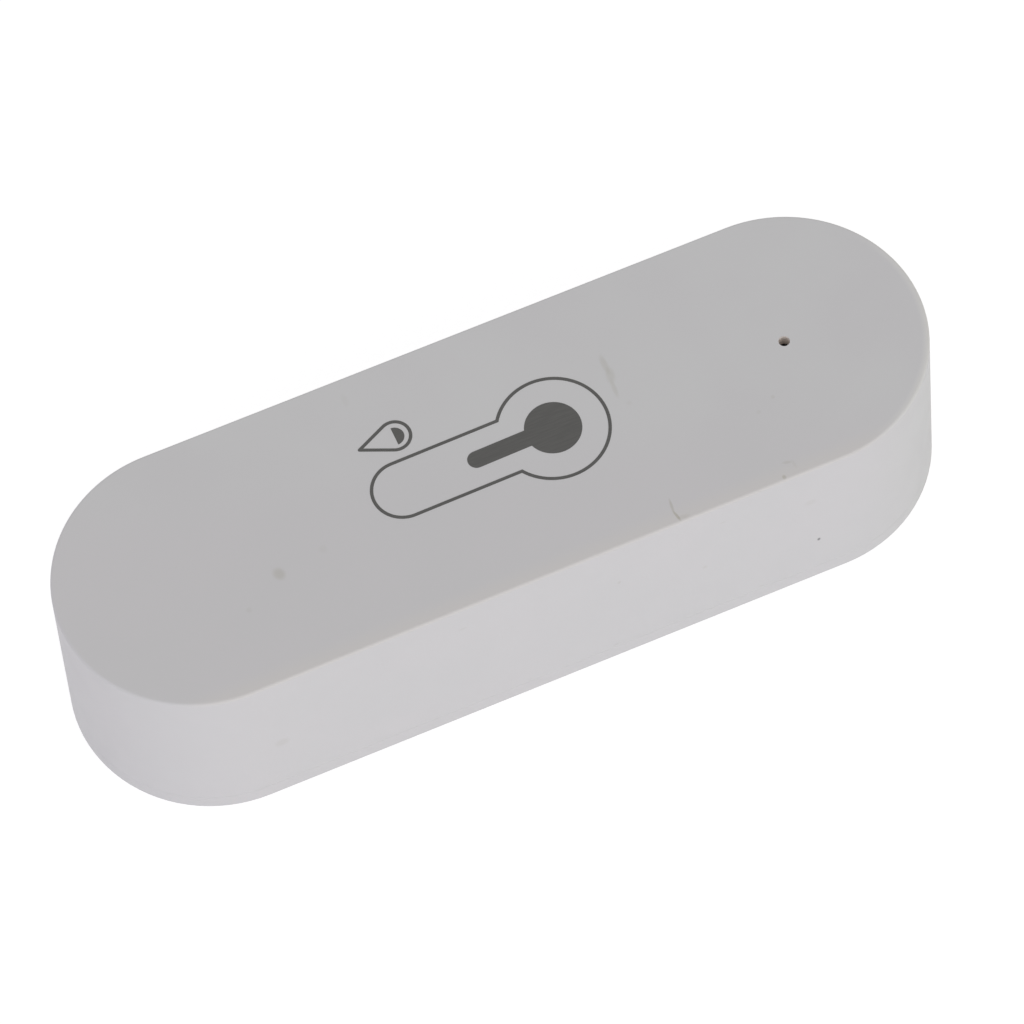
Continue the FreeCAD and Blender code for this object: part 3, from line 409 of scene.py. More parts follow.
def cover_plastic():
    """Off-white moulded plastic with a fine spark-eroded skin and the rubs and specks of handling, with
    painted highlights along the front edge and painted light and shade in the pinhole.
    """
    finish = Finish("cover_plastic", 0.52)
    x, y, z = finish.split(finish.place)
    drift = finish.reckon("ADD", y, finish.times(x, 0.3))
    colour = finish.mix(finish.step(drift, *DRIFT_SPAN), COVER_WHITE, COVER_WHITE_FAR)
    colour = finish.mix(finish.cloud(finish.noise(0.09)), colour, COVER_WHITE_DEEP)

    # Painted highlights on the front face: a lighter, warmer band along its near side, and a pale rim round
    # its right-hand end
    on_front = finish.step(z, *FRONT_FACE)
    colour = finish.mix(finish.times(on_front, finish.fall(y, *NEAR_EDGE_HIGHLIGHT)), colour, COVER_PAINTED_EDGE_HIGHLIGHT)
    # A painted highlight on the rounded edge at the right-hand end
    from_arc = finish.length(finish.seen_from(finish.place, (ARC_CENTRE, 0, 0), (1, 1, 1000)))
    at_end = finish.times(finish.step(x, *RIM_HIGHLIGHT_END), finish.fall(y, *RIM_HIGHLIGHT_SIDE))
    rim = finish.times(finish.step(from_arc, *RIM_HIGHLIGHT_OUT), finish.times(on_front, at_end))
    colour = finish.mix(rim, colour, COVER_PAINTED_RIM_HIGHLIGHT)

    wear = finish.times(finish.specks(SPECK_SPACING, SPECK_SIZE), SPECK_STRENGTH)
    rubs = [((rub_x, rub_y, FRONT), (along, across, deep), turn, strength)
            for rub_x, rub_y, along, across, deep, turn, strength in FRONT_RUBS]
    rubs += [(centre, (along, 1.0, up), 0, strength) for centre, along, up, strength in WALL_RUBS]
    for centre, reach, turn, strength in rubs:
        rub = finish.spot(centre, reach, radians(turn))
        wear = finish.reckon("ADD", wear, finish.times(rub, strength))
    colour = finish.mix(wear, colour, RUB_GREY)
    colour = finish.mix(finish.spot(*DARK_DOT), colour, DOT_GREY)

    # The pinhole: its wall painted warm as lit, fading into painted shade with depth, and the light well
    # under it painted dark as shade
    from_hole = finish.length(finish.seen_from(finish.place, (ARC_CENTRE, 0, 17.0), (1, 1, 50)))
    depth = finish.mix(finish.step(z, *HOLE_PAINTED_FADE), HOLE_PAINTED_SHADE, HOLE_PAINTED_LIGHT)
    hole_painted_light_and_shade = finish.mix(finish.step(from_hole, HOLE_RADIUS, HOLE_RADIUS + 0.01), depth, HOLE_PAINTED_SHADE)
    # The well under the pinhole, painted dark as shade between its floor and the front
    inside = finish.fall(from_hole, WELL_RADIUS, WELL_RADIUS + 0.02)
    under_front = finish.times(finish.fall(z, *HOLE_TOP), finish.step(z, *WELL_FLOOR))
    finish.give("Base Color", finish.mix(finish.times(inside, under_front), colour, hole_painted_light_and_shade))
    finish.give("Roughness", finish.cloud(finish.noise(0.5), 0.49, 0.56))
    finish.bump(finish.noise(5.0, 3.0), 0.006)
    finish.give("Specular IOR Level", 0.2)


def marking_ink():
    """The laser-marked pictogram: dark warm grey with the faint streaks of the beam's passes."""
    finish = Finish("marking_ink", 0.6)
    streaks = finish.noise(1.6, unit=(3.0, 0.17, 1.0))
    finish.give("Base Color", finish.mix(
        finish.cloud(streaks), (0.094, 0.093, 0.088, 1), (0.108, 0.107, 0.101, 1)))
    finish.bump(streaks, 0.002)


def moulded_plastic(name, light, dark, roughness, grain_depth=0.005):
    """Moulded plastic: cloudy flow of two close shades, a fine skin and a sheen that wanders."""
    finish = Finish(name, roughness)
    flow = finish.noise(0.35, 3.0, (2.5, 1.0, 1.0))
    finish.give("Base Color", finish.mix(finish.cloud(flow), light, dark))
    finish.give("Roughness", finish.cloud(finish.noise(0.8), roughness - 0.04, roughness + 0.05))
    finish.bump(finish.noise(6.0), grain_depth)


def sheet_metal(name, light, dark, roughness, unit=(0.12, 2.0, 0.12)):
    """Rolled or plated metal: fine lines along the sheet and a thin bloom."""
    finish = Finish(name, roughness, 1.0)
    lines = finish.noise(1.0, 3.0, unit)
    bloom = finish.noise(0.6, 3.0)
    colour = finish.mix(finish.cloud(lines), light, dark)
    finish.give("Base Color", finish.mix(finish.step(bloom, 0.4, 0.75, 0.0, 0.5), colour, dark))
    finish.give("Roughness", finish.cloud(bloom, roughness - 0.05, roughness + 0.1))
    finish.bump(lines, 0.0015)


SLEEVE_BLUE = (0.045, 0.115, 0.215, 1)
SLEEVE_BLUE_DEEP = (0.04, 0.10, 0.19, 1)
SLEEVE_BAND = (0.42, 0.45, 0.48, 1)
SLEEVE_MARK = (0.62, 0.64, 0.66, 1)
PLUS_AT = 39.1
MINUS_AT = 4.2
POLE_REACH = 1.1
POLE_STROKE = 0.25


def cell_sleeve():
    """The printed sleeve: a blue body, a pale band and marks for the poles, laid out round the cell."""
    finish = Finish("cell_wrap", 0.26)
    along, turn, _ = finish.split(finish.add("ShaderNodeUVMap", uv_map="around")[0])

    def band(value, low, high, soft=0.04):
        return finish.times(
            finish.step(value, low - soft, low + soft), finish.fall(value, high - soft, high + soft))

    def stroke(centre, half_along, side, half_round):
        half_turn = half_round / (2 * pi * CELL_RADIUS)
        return finish.times(
            band(along, centre - half_along, centre + half_along),
            band(turn, side - half_turn, side + half_turn, 0.002))

    colour = finish.mix(finish.cloud(finish.noise(0.4)), SLEEVE_BLUE, SLEEVE_BLUE_DEEP)
    for low, high in ((37.0, 41.2), (35.9, 36.3)):
        colour = finish.mix(band(along, low, high), colour, SLEEVE_BAND)
    for side in (-0.25, 0.25):
        lengthwise = stroke(PLUS_AT, POLE_REACH, side, POLE_STROKE)
        crosswise = stroke(PLUS_AT, POLE_STROKE, side, POLE_REACH)
        colour = finish.mix(finish.reckon("MAXIMUM", lengthwise, crosswise), colour, SLEEVE_BLUE)
        colour = finish.mix(stroke(MINUS_AT, POLE_REACH, side, POLE_STROKE), colour, SLEEVE_MARK)
    overlap = finish.times(band(turn, 0.06, 0.066, 0.001), 0.5)
    finish.give("Base Color", finish.mix(overlap, colour, grey(0.02)))
    finish.bump(finish.noise(1.5), 0.004)
    finish.coat(0.3, 0.15)


def circuit_board(name, mask, mask_over_copper, roughness):
    """Solder mask over copper: the planes and the gaps between them show through it."""
    finish = Finish(name, roughness)
    cells = finish.add(
        "ShaderNodeTexVoronoi", {"Vector": finish.place, "Scale": 0.33}, distance="CHEBYCHEV")
    planes = finish.fall(cells["Distance"], 0.66, 0.69)
    colour = finish.mix(planes, mask, mask_over_copper)
    weave = finish.cloud(finish.noise(1.0, 1.0, (0.4, 0.4, 2.0)), 0.0, 0.25)
    finish.give("Base Color", finish.mix(weave, colour, mask))
    finish.bump(planes, 0.01)
    finish.coat(0.4, 0.12)


def covered_copper():
    """Copper tracks under solder mask: a lighter green than the bare board."""
    finish = Finish("covered_copper", 0.3)
    finish.give("Base Color", finish.mix(
        finish.cloud(finish.noise(0.5)), (0.035, 0.235, 0.105, 1), (0.028, 0.205, 0.09, 1)))
    finish.coat(0.4, 0.12)


# Building blocks for Geometry Nodes

def new_tree(name, **inputs):
    """A geometry tree with named inputs of the given kinds, and the sockets that give them."""
    tree = bpy.data.node_groups.new(name, "GeometryNodeTree")
    for key, kind in inputs.items():
        title = key.replace("_", " ").capitalize()
        tree.interface.new_socket(title, in_out="INPUT", socket_type="NodeSocket" + kind)
    tree.interface.new_socket("Geometry", in_out="OUTPUT", socket_type="NodeSocketGeometry")
    return tree, add_node(tree, "NodeGroupInput")


def set_inputs(modifier, **values):
    """Set a modifier's inputs by the identifiers of their sockets; underscores stand for spaces."""
    for item in modifier.node_group.interface.items_tree:
        key = item.name.replace(" ", "_").lower()
        if item.item_type == "SOCKET" and item.in_out == "INPUT" and key in values:
            modifier[item.identifier] = values[key]


def end_tree(tree, geometry, material):
    """End a tree in real geometry of one material."""
    real = add_node(tree, "GeometryNodeRealizeInstances", {0: geometry})[0]
    finish = add_node(tree, "GeometryNodeSetMaterial", {"Geometry": real, "Material": material})[0]
    add_node(tree, "NodeGroupOutput", {0: finish})
    return tree


def shading_tree():
    """Every face smooth, and every edge that bends by more than the sharp angle kept sharp."""
    tree, given = new_tree("smooth_by_angle", geometry="Geometry", sharp_angle="Float")
    faces = add_node(tree, "GeometryNodeSetShadeSmooth", {"Geometry": given["Geometry"]}, domain="FACE")[0]
    angle = add_node(tree, "GeometryNodeInputMeshEdgeAngle")["Unsigned Angle"]
    gentle = add_node(
        tree, "FunctionNodeCompare", {0: angle, 1: given["Sharp angle"]}, operation="LESS_THAN")[0]
    edges = add_node(
        tree, "GeometryNodeSetShadeSmooth", {"Geometry": faces, "Shade Smooth": gentle}, domain="EDGE")[0]
    add_node(tree, "NodeGroupOutput", {0: edges})
    return tree


def repeat_tree():
    """One copy of a piece on every point, each turned by its own random amount."""
    tree, given = new_tree(
        "repeat_on_points", points="Geometry", piece="Object", material="Material", most_turn="Float",
        seed="Int")
    points = add_node(tree, "GeometryNodeMeshToPoints", {0: given["Points"]})[0]
    piece = add_node(tree, "GeometryNodeObjectInfo", {0: given["Piece"]})["Geometry"]
    turn = add_node(
        tree, "FunctionNodeRandomValue", {3: given["Most turn"], "Seed": given["Seed"]}, data_type="FLOAT")[1]
    way = add_node(tree, "ShaderNodeCombineXYZ", {"Z": turn})[0]
    rotation = add_node(tree, "FunctionNodeEulerToRotation", {0: way})[0]
    copies = add_node(tree, "GeometryNodeInstanceOnPoints", {
        "Points": points, "Instance": piece, "Rotation": rotation})[0]
    return end_tree(tree, copies, given["Material"])


SPRING_STEPS = 40
WIRE_STEPS = 12
SPRING_WIRE = 0.5
SPRING_HEIGHT = 3.0
SPRING_BASE = 3.0
SPRING_TIP = 1.5
SPRING_TURNS = 3.0


def spring_tree():
    """Round wire along a conical coil, turned by its lean and moved to its seat."""
    tree, given = new_tree(
        "conical_spring", geometry="Geometry", base_radius="Float", tip_radius="Float", wire_radius="Float",
        climb="Float", turns="Float", seat="Vector", lean="Vector", material="Material")
    line = add_node(tree, "GeometryNodeCurveSpiral", {
        "Resolution": SPRING_STEPS, "Reverse": True, "Rotations": given["Turns"], "Height": given["Climb"],
        "Start Radius": given["Base radius"], "End Radius": given["Tip radius"]})[0]
    section = add_node(tree, "GeometryNodeCurvePrimitiveCircle", {
        "Resolution": WIRE_STEPS, "Radius": given["Wire radius"]})[0]
    wire = add_node(tree, "GeometryNodeCurveToMesh", {
        "Curve": line, "Profile Curve": section, "Fill Caps": True})[0]
    seated = add_node(tree, "GeometryNodeTransform", {
        "Geometry": wire, "Translation": given["Seat"], "Rotation": given["Lean"]})[0]
    return end_tree(tree, seated, given["Material"])


SHADING = shading_tree()
REPEAT = repeat_tree()
SPRING = spring_tree()


# Building blocks for meshes

SHARP = radians(50.0)
FLAT = radians(0.5)
# Places that are closer than this, in mm, count as one
SAME = 0.001


def add_part(mesh, *replaced, slot=None, body="housing", sharp=SHARP):
    """Link a finished mesh, make it ride on a body and hide the nodes it replaces.

    The slot, the one given or else its material's name without the number that Blender may add, is worked out
    but not used.
    """
    piece = link_object(mesh.name, mesh)
    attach(piece, body)
    slot or mesh.materials[0].name.split(".")[0]
    if replaced:
        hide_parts(*replaced)
    even_normals(piece, sharp)


def even_normals(piece, sharp=SHARP):
    """Smooth shading with flat faces kept flat, by modifiers that leave the vertices alone."""
    piece.modifiers.new("weld", "WELD").merge_threshold = SAME * MM
    shade = piece.modifiers.new("shade", "NODES")
    shade.node_group = SHADING
    set_inputs(shade, sharp_angle=sharp)
    weighted = piece.modifiers.new("weighted", "WEIGHTED_NORMAL")
    weighted.keep_sharp = True
    weighted.weight = 100


def joined(bm):
    """The mesh with the vertices joined that lie in one place."""
    bmesh.ops.remove_doubles(bm, verts=bm.verts, dist=SAME / 10 * MM)
    return bm


def merged_copy(node):
    """A solid's mesh to work on, its loose triangles joined."""
    bm = bmesh.new()
    bm.from_mesh(nodes[node].data)
    return joined(bm)


def closed_mesh(bm, name, material):
    """The finished mesh, its faces outwards."""
    bmesh.ops.recalc_face_normals(bm, faces=bm.faces)
    mesh = bpy.data.meshes.new(name)
    bm.to_mesh(mesh)
    bm.free()
    mesh.materials.append(MATERIALS[material])
    return mesh


def add_ring(bm, points, height):
    """Vertices at points and a height in mm."""
    return [bm.verts.new(Vector((x, y, height)) * MM) for x, y in points]


def join_rings(bm, lower, upper):
    """Quads between two rings of the same count, facing away from the axis."""
    for index in range(len(lower)):
        following = (index + 1) % len(lower)
        bm.faces.new((lower[index], lower[following], upper[following], upper[index]))


def ring_edges(bm, ring):
    """The edges round a ring, made where they don't exist yet."""
    pairs = zip(ring, ring[1:] + ring[:1])
    return [bm.edges.get(pair) or bm.edges.new(pair) for pair in pairs]


def fill_flat(bm, edges, up):
    """Fill level loops, one inside the other, with faces that look up or down."""
    filled = bmesh.ops.triangle_fill(bm, use_beauty=True, edges=edges, normal=(0, 0, 1))
    for face in filled["geom"]:
        if isinstance(face, bmesh.types.BMFace):
            face.normal_update()
            if (face.normal.z > 0) != up:
                face.normal_flip()


def slab_mesh(name, material, *slabs):
    """Flat slabs in mm, each given as its loops, its lower and its upper height.

    Loops run anticlockwise, and those after the first are holes.
    """
    bm = bmesh.new()
    for loops, low, high in slabs:
        upper = [add_ring(bm, loop, high) for loop in loops]
        lower = [add_ring(bm, loop, low) for loop in loops]
        fill_flat(bm, [edge for ring in upper for edge in ring_edges(bm, ring)], True)
        fill_flat(bm, [edge for ring in lower for edge in ring_edges(bm, ring)], False)
        join_rings(bm, lower[0], upper[0])
        for below, above in zip(lower[1:], upper[1:]):
            join_rings(bm, above, below)
    return closed_mesh(bm, name, material)


def bevel(bm, edges, width, steps=2, **settings):
    """Round edges off by a width in mm."""
    bmesh.ops.bevel(
        bm, geom=edges, offset=width * MM, offset_type="OFFSET", segments=steps, profile=0.5,
        affect="EDGES", **settings)


def block_mesh(name, material, boxes, edge, steps=2):
    """Blocks with rounded edges, each between two corners in mm."""
    bm = bmesh.new()
    for low, high in boxes:
        verts = bmesh.ops.create_cube(bm, size=1.0)["verts"]
        for vertex in verts:
            vertex.co = Vector([
                ((start + end) / 2 + place * (end - start)) * MM
                for start, end, place in zip(low, high, vertex.co)])
        edges = list(dict.fromkeys(edge for vertex in verts for edge in vertex.link_edges))
        bevel(bm, edges, edge, steps)
    return closed_mesh(bm, name, material)


CORNER_STEPS = 5


def rounded(points, corners):
    """The profile with an arc of the given radius in place of each named corner."""
    result = []
    for index, point in enumerate(points):
        if index not in corners:
            result.append(point)
            continue
        corner = Vector(point)
        radius = corners[index]
        before = (Vector(points[index - 1]) - corner).normalized()
        after = (Vector(points[index + 1]) - corner).normalized()
        half = before.angle(after) / 2
        centre = corner + (before + after).normalized() * (radius / sin(half))
        reach = radius / tan(half)
        first = corner + before * reach - centre
        second = corner + after * reach - centre
        ways = [first.slerp(second, step / CORNER_STEPS) for step in range(CORNER_STEPS + 1)]
        result += [tuple(centre + way.normalized() * radius) for way in ways]
    return result


def turned_mesh(name, material, profile, place, steps=64):
    """A turned profile of (along, radius) points; place puts (along, radius, angle) in space."""
    bm = bmesh.new()
    rows = []
    for along, radius in profile:
        angles = [2 * pi * index / steps for index in range(steps if radius > SAME else 1)]
        rows.append([bm.verts.new(Vector(place(along, radius, angle)) * MM) for angle in angles])
    for first, second in zip(rows, rows[1:]):
        for index in range(steps):
            following = (index + 1) % steps
            ring = [first[index % len(first)], first[following % len(first)],
                    second[following % len(second)], second[index % len(second)]]
            corners = list(dict.fromkeys(ring))
            if len(corners) > 2:
                bm.faces.new(corners)
    return closed_mesh(joined(bm), name, material)


def upright(x, y):
    """Places for a profile turned about a vertical line, along being the height."""
    def place(along, radius, angle):
        return x + radius * cos(angle), y + radius * sin(angle), along
    return place


def settled_mesh(host, name):
    """What the host's modifiers make, as a plain mesh. The host goes."""
    bpy.context.view_layer.update()
    mesh = bpy.data.meshes.new_from_object(host.evaluated_get(bpy.context.evaluated_depsgraph_get()))
    bpy.data.objects.remove(host)
    mesh.name = name
    return mesh


def repeated_mesh(name, pattern, places, most_turn=0.0, seed=1):
    """The pattern mesh at every place in mm, as one mesh."""
    points = bpy.data.meshes.new(name + "_points")
    points.from_pydata([tuple(value * MM for value in place) for place in places], [], [])
    host = link_object(name + "_points", points)
    source = link_object(name + "_pattern", pattern)
    modifier = host.modifiers.new("repeat", "NODES")
    modifier.node_group = REPEAT
    set_inputs(modifier, piece=source, material=pattern.materials[0], most_turn=most_turn, seed=seed)
    mesh = settled_mesh(host, name)
    bpy.data.objects.remove(source)
    return mesh


def separate_boxes(node):
    """The boxes, in mm, of the separate solids in a node, from -X to +X."""
    bm = merged_copy(node)
    waiting = set(bm.verts)
    boxes = []
    while waiting:
        reached = [waiting.pop()]
        for vertex in reached:
            for edge in vertex.link_edges:
                other = edge.other_vert(vertex)
                if other in waiting:
                    waiting.discard(other)
                    reached.append(other)
        sides = list(zip(*(vertex.co for vertex in reached)))
        boxes.append((Vector([min(side) for side in sides]) / MM, Vector([max(side) for side in sides]) / MM))
    bm.free()
    return sorted(boxes, key=lambda box: tuple(box[0]))


def foot(low, high):
    """The middle of a box at its lower face."""
    return (low.x + high.x) / 2, (low.y + high.y) / 2, low.z


def cross(centre, reach, half):
    """The outline of an upright cross with arms of this reach and half-width."""
    points = []
    for quarter in range(4):
        turn = Matrix.Rotation(quarter * pi / 2, 2)
        points += [tuple(Vector(centre) + turn @ Vector(point))
                   for point in ((reach, -half), (reach, half), (half, half))]
    return points


def track(points, width):
    """The outline of a strip of this width along the points."""
    left = []
    right = []
    for index, point in enumerate(points):
        here = Vector(point)
        ways = []
        if index > 0:
            ways.append((here - Vector(points[index - 1])).normalized())
        if index < len(points) - 1:
            ways.append((Vector(points[index + 1]) - here).normalized())
        mean = sum(ways, Vector((0, 0))).normalized()
        side = Vector((-mean.y, mean.x)) * (width / 2 / mean.dot(ways[0]))
        left.append(tuple(here + side))
        right.append(tuple(here - side))
    return right + left[::-1]


# The mouldings and sheet parts

def softened_piece(node, width, body="housing"):
    """A copy of a solid with its sharp edges rounded off, in place of the solid."""
    bm = merged_copy(node)
    bmesh.ops.dissolve_limit(
        bm, angle_limit=FLAT, use_dissolve_boundaries=False, verts=bm.verts, edges=bm.edges)
    sharp = [edge for edge in bm.edges if edge.is_manifold and edge.calc_face_angle() > SHARP / 2]
    bevel(bm, sharp, width, clamp_overlap=True, miter_outer="ARC")
    bmesh.ops.triangulate(bm, faces=[face for face in bm.faces if len(face.verts) > 4])
    add_part(closed_mesh(bm, node + "_softened", SLOTS[node]), node, body=body)


ARC_STEPS = 72
EDGE_ROUND = 0.25
EDGE_STEPS = 6
SEAM_ROUND = 0.012
COVER_SKIN = 0.6
COVER_SHARP = radians(35.0)


def make_front_cover():
    """The solid's inside with a finer outer skin: drafted wall, rounded front edge, flat top."""
    bm = merged_copy("top_cover")

    def reach(place):
        return hypot(max(abs(place.x) - ARC_CENTRE, 0.0), place.y)

    def on_top(part):
        return all(vertex.co.z / MM > FRONT - SAME for vertex in part.verts)

    def on_seam(part):
        return all(vertex.co.z / MM < SEAM + SAME for vertex in part.verts)

    def on_wall(part):
        places = [vertex.co / MM for vertex in part.verts]
        return all(reach(place) > wall_radius(place.z) - COVER_SKIN for place in places)

    outside = [face for face in bm.faces if on_wall(face) or on_top(face) or on_seam(face)]
    bmesh.ops.delete(bm, geom=outside, context="FACES")
    rims = [edge for edge in bm.edges if len(edge.link_faces) == 1]
    hole_rim = [edge for edge in rims if on_top(edge)]
    cavity_rim = [edge for edge in rims if on_seam(edge)]

    levels = [(wall_radius(SEAM) - SEAM_ROUND, SEAM), (wall_radius(SEAM + SEAM_ROUND), SEAM + SEAM_ROUND)]
    shoulder = FRONT - EDGE_ROUND
    levels += arc((wall_radius(shoulder) - EDGE_ROUND, shoulder), EDGE_ROUND, 0.0, pi / 2, EDGE_STEPS)
    rings = [add_ring(bm, stadium(radius, ARC_STEPS), height) for radius, height in levels]
    for lower, upper in zip(rings, rings[1:]):
        join_rings(bm, lower, upper)
    fill_flat(bm, ring_edges(bm, rings[-1]) + hole_rim, True)
    fill_flat(bm, ring_edges(bm, rings[0]) + cavity_rim, False)
    add_part(closed_mesh(bm, "front_cover", "cover_plastic"), "top_cover", sharp=COVER_SHARP)


# The pictogram on the front: a thermometer and a drop, in millimetres from the middle of the front

MARK_TILT = radians(0.62)
MARK_LINE = 0.295
MARK_FILM = 0.012
BULB_CENTRE = (5.79, 0.39)
BULB_RADIUS = 4.876
TUBE_HALF = 2.69
TUBE_END = 13.96
FILL_CENTRE = (5.816, 0.443)
FILL_RADIUS = 2.498
FILL_TILT = radians(1.1)
STEM_HALF = 0.815
STEM_END = 7.15
DROP_CENTRE = (-6.78, 5.465)
DROP_RADIUS = 1.37
DROP_TIP = 3.27
MOON_CENTRE = (-6.82, 5.42)
MOON_RADIUS = 0.857
TURN_STEP = radians(4.0)


def even_arc(centre, radius, start, end):
    """An arc in even steps of about four degrees."""
    return arc(centre, radius, start, end, max(2, round(abs(end - start) / TURN_STEP)))


def keyhole(bulb, half, end, grow=0.0):
    """A round bulb about the origin with a round-ended tube that reaches to -end - half."""
    bulb += grow
    half += grow
    joint = asin(half / bulb)
    round_bulb = even_arc((0, 0), bulb, joint - pi, pi - joint)
    return round_bulb + even_arc((-end, 0), half, pi / 2, 3 * pi / 2)


def drop(radius, tip, grow=0.0):
    """A circle about the origin with a straight-sided tip at -tip, rounded where it grows."""
    half_angle = asin(radius / tip)
    side = pi / 2 + half_angle
    end = [(-tip - grow / sin(half_angle), 0.0)]
    if grow > 0:
        end = even_arc((-tip, 0), grow, side, 2 * pi - side)
    return end + even_arc((0, 0), radius + grow, -side, side)


def make_marking():
    """The dark film of the pictogram, laid on the front cover."""
    def place(points, centre, tilt=MARK_TILT, tilt_about=BULB_CENTRE):
        turn = Matrix.Rotation(tilt, 2)
        about = Vector(tilt_about)
        return [tuple(turn @ (Vector(point) + Vector(centre) - about) + about) for point in points]

    grows = (MARK_LINE / 2, -MARK_LINE / 2)
    signs = (
        [place(keyhole(BULB_RADIUS, TUBE_HALF, TUBE_END, grow), BULB_CENTRE) for grow in grows],
        [place(keyhole(FILL_RADIUS, STEM_HALF, STEM_END), FILL_CENTRE, FILL_TILT, FILL_CENTRE)],
        [place(drop(DROP_RADIUS, DROP_TIP, grow), DROP_CENTRE) for grow in grows],
        [place(even_arc((0, 0), MOON_RADIUS, -pi / 2, pi / 2), MOON_CENTRE)])
    slabs = [(loops, FRONT - MARK_FILM, FRONT + MARK_FILM) for loops in signs]
    add_part(slab_mesh("front_marking", "marking_ink", *slabs), slot="cover_plastic")


# Battery cells: a steel can with a raised nub, in a printed sleeve shrunk over its ends

CELL_AXIS = 7.35
CELL_ASIDE = 5.35
CELL_LENGTH = 44.5
CELL_RADIUS = 5.25
CELL_SHOULDER = 43.6
NUB_RADIUS = 1.9
SLEEVE_MOUTH = 4.35
SLEEVE_SKIN = 0.1
SLEEVE_PUCKERS = 26
PUCKER_REACH = 0.5
PUCKER_HEIGHT = 0.05
SLEEVE_FOLDS = 7
FOLD_SHARE = 0.6


def make_cell(number, facing):
    """Cell 1 has its nub at +X, cell 2 at -X."""
    node = f"battery_cell_{number}"
    low, high = box_mm(node)
    start = low.x if facing > 0 else high.x
    axis_y = CELL_ASIDE * facing

    def place(along, radius, angle):
        side = facing * radius * cos(angle)
        return start + facing * along, axis_y + side, CELL_AXIS + radius * sin(angle)

    def puckered(along, radius, angle):
        near_mouth = 1 - min(1.0, (radius - SLEEVE_MOUTH) / PUCKER_REACH)
        wave = sin(SLEEVE_PUCKERS * angle) + FOLD_SHARE * sin(SLEEVE_FOLDS * angle + number)
        return place(along, radius + PUCKER_HEIGHT * near_mouth * wave, angle)

    skin = SLEEVE_SKIN
    sleeve = rounded(
        [(skin, SLEEVE_MOUTH), (0.0, SLEEVE_MOUTH + 0.05), (0.0, CELL_RADIUS), (CELL_SHOULDER, CELL_RADIUS),
         (CELL_SHOULDER, SLEEVE_MOUTH + 0.05), (CELL_SHOULDER - skin, SLEEVE_MOUTH),
         (CELL_SHOULDER - skin, CELL_RADIUS - skin), (skin, CELL_RADIUS - skin), (skin, SLEEVE_MOUTH)],
        {2: 0.45, 3: 0.55, 6: 0.4, 7: 0.3})
    mesh = turned_mesh(f"cell_{number}_sleeve", "cell_wrap", sleeve, puckered, 72)
    around = mesh.uv_layers.new(name="around").data
    for polygon in mesh.polygons:
        spots = [mesh.vertices[vertex].co / MM for vertex in polygon.vertices]
        turns = [atan2(spot.z - CELL_AXIS, facing * (spot.y - axis_y)) / (2 * pi) for spot in spots]
        over_join = max(turns) - min(turns) > 0.5
        for loop, spot, turn in zip(polygon.loop_indices, spots, turns):
            around[loop].uv = (facing * (spot.x - start), turn + 1 if over_join and turn < 0 else turn)
    add_part(mesh, node)

    can = rounded(
        [(0.05, 0.0), (0.05, 3.2), (0.32, 3.35), (0.32, 3.75), (0.12, 3.9), (0.14, CELL_RADIUS - 0.2),
         (CELL_SHOULDER - 0.14, CELL_RADIUS - 0.2), (CELL_SHOULDER - 0.16, NUB_RADIUS + 0.35),
         (CELL_SHOULDER - 0.05, NUB_RADIUS), (CELL_LENGTH, NUB_RADIUS - 0.08), (CELL_LENGTH, 0.0)],
        {1: 0.12, 5: 0.4, 6: 0.5, 7: 0.1, 8: 0.08, 9: 0.28})
    add_part(turned_mesh(f"cell_{number}_can", "nickel_sheet", can, place))


CONTACT_SHEET = 0.3


def make_springs():
    """The contact springs, each on its plate and pointing at its cell."""
    for side, facing, rise in (("link", 1, CONTACT_SHEET), ("negative", -1, 0.0)):
        name = side + "_spring_wire"
        seat_x = box_mm(side + "_contact_plate")[0].x + rise + facing * SPRING_WIRE / 2
        host = link_object(name, bpy.data.meshes.new(name + "_start"))
        modifier = host.modifiers.new("spring", "NODES")
        modifier.node_group = SPRING
        set_inputs(
            modifier,
            base_radius=SPRING_BASE * MM,
            tip_radius=SPRING_TIP * MM,
            wire_radius=SPRING_WIRE / 2 * MM,
            climb=(SPRING_HEIGHT - SPRING_WIRE) * MM,
            turns=SPRING_TURNS,
            seat=(seat_x * MM, CELL_ASIDE * facing * MM, CELL_AXIS * MM),
            lean=(0.0, facing * pi / 2, 0.0),
            material=MATERIALS["nickel_sheet"])
        add_part(settled_mesh(host, name), side + "_contact_spring")


# Screws: pan heads with a cross recess, and cut threads

SCREW_HEAD = 1.0
SCREW_STEPS = 40
SCREW_SHARP = radians(30.0)
# Shares of the head's radius: its flat crown, and the reach and half-width of the recess
CROWN = 0.66
RECESS_MOUTH = (0.56, 0.12)
RECESS_FLOOR = (0.30, 0.08)
# Share of the head's height
RECESS_DEPTH = 0.62
# The thread: its root and its point as shares of the shank, its ridge as a share of the pitch
ROOT = 0.76
POINT = 0.35
RIDGE = 0.3
POINT_PITCHES = 1.2
ROWS_PER_PITCH = 8
# Node, head and shank radius and pitch in mm, seed for the turns, whether it points up
SCREWS = (
    ("carrier_screws", 1.6, 0.95, 0.8, 4, True),
    ("board_screws", 1.4, 0.8, 0.6, 9, False),
)


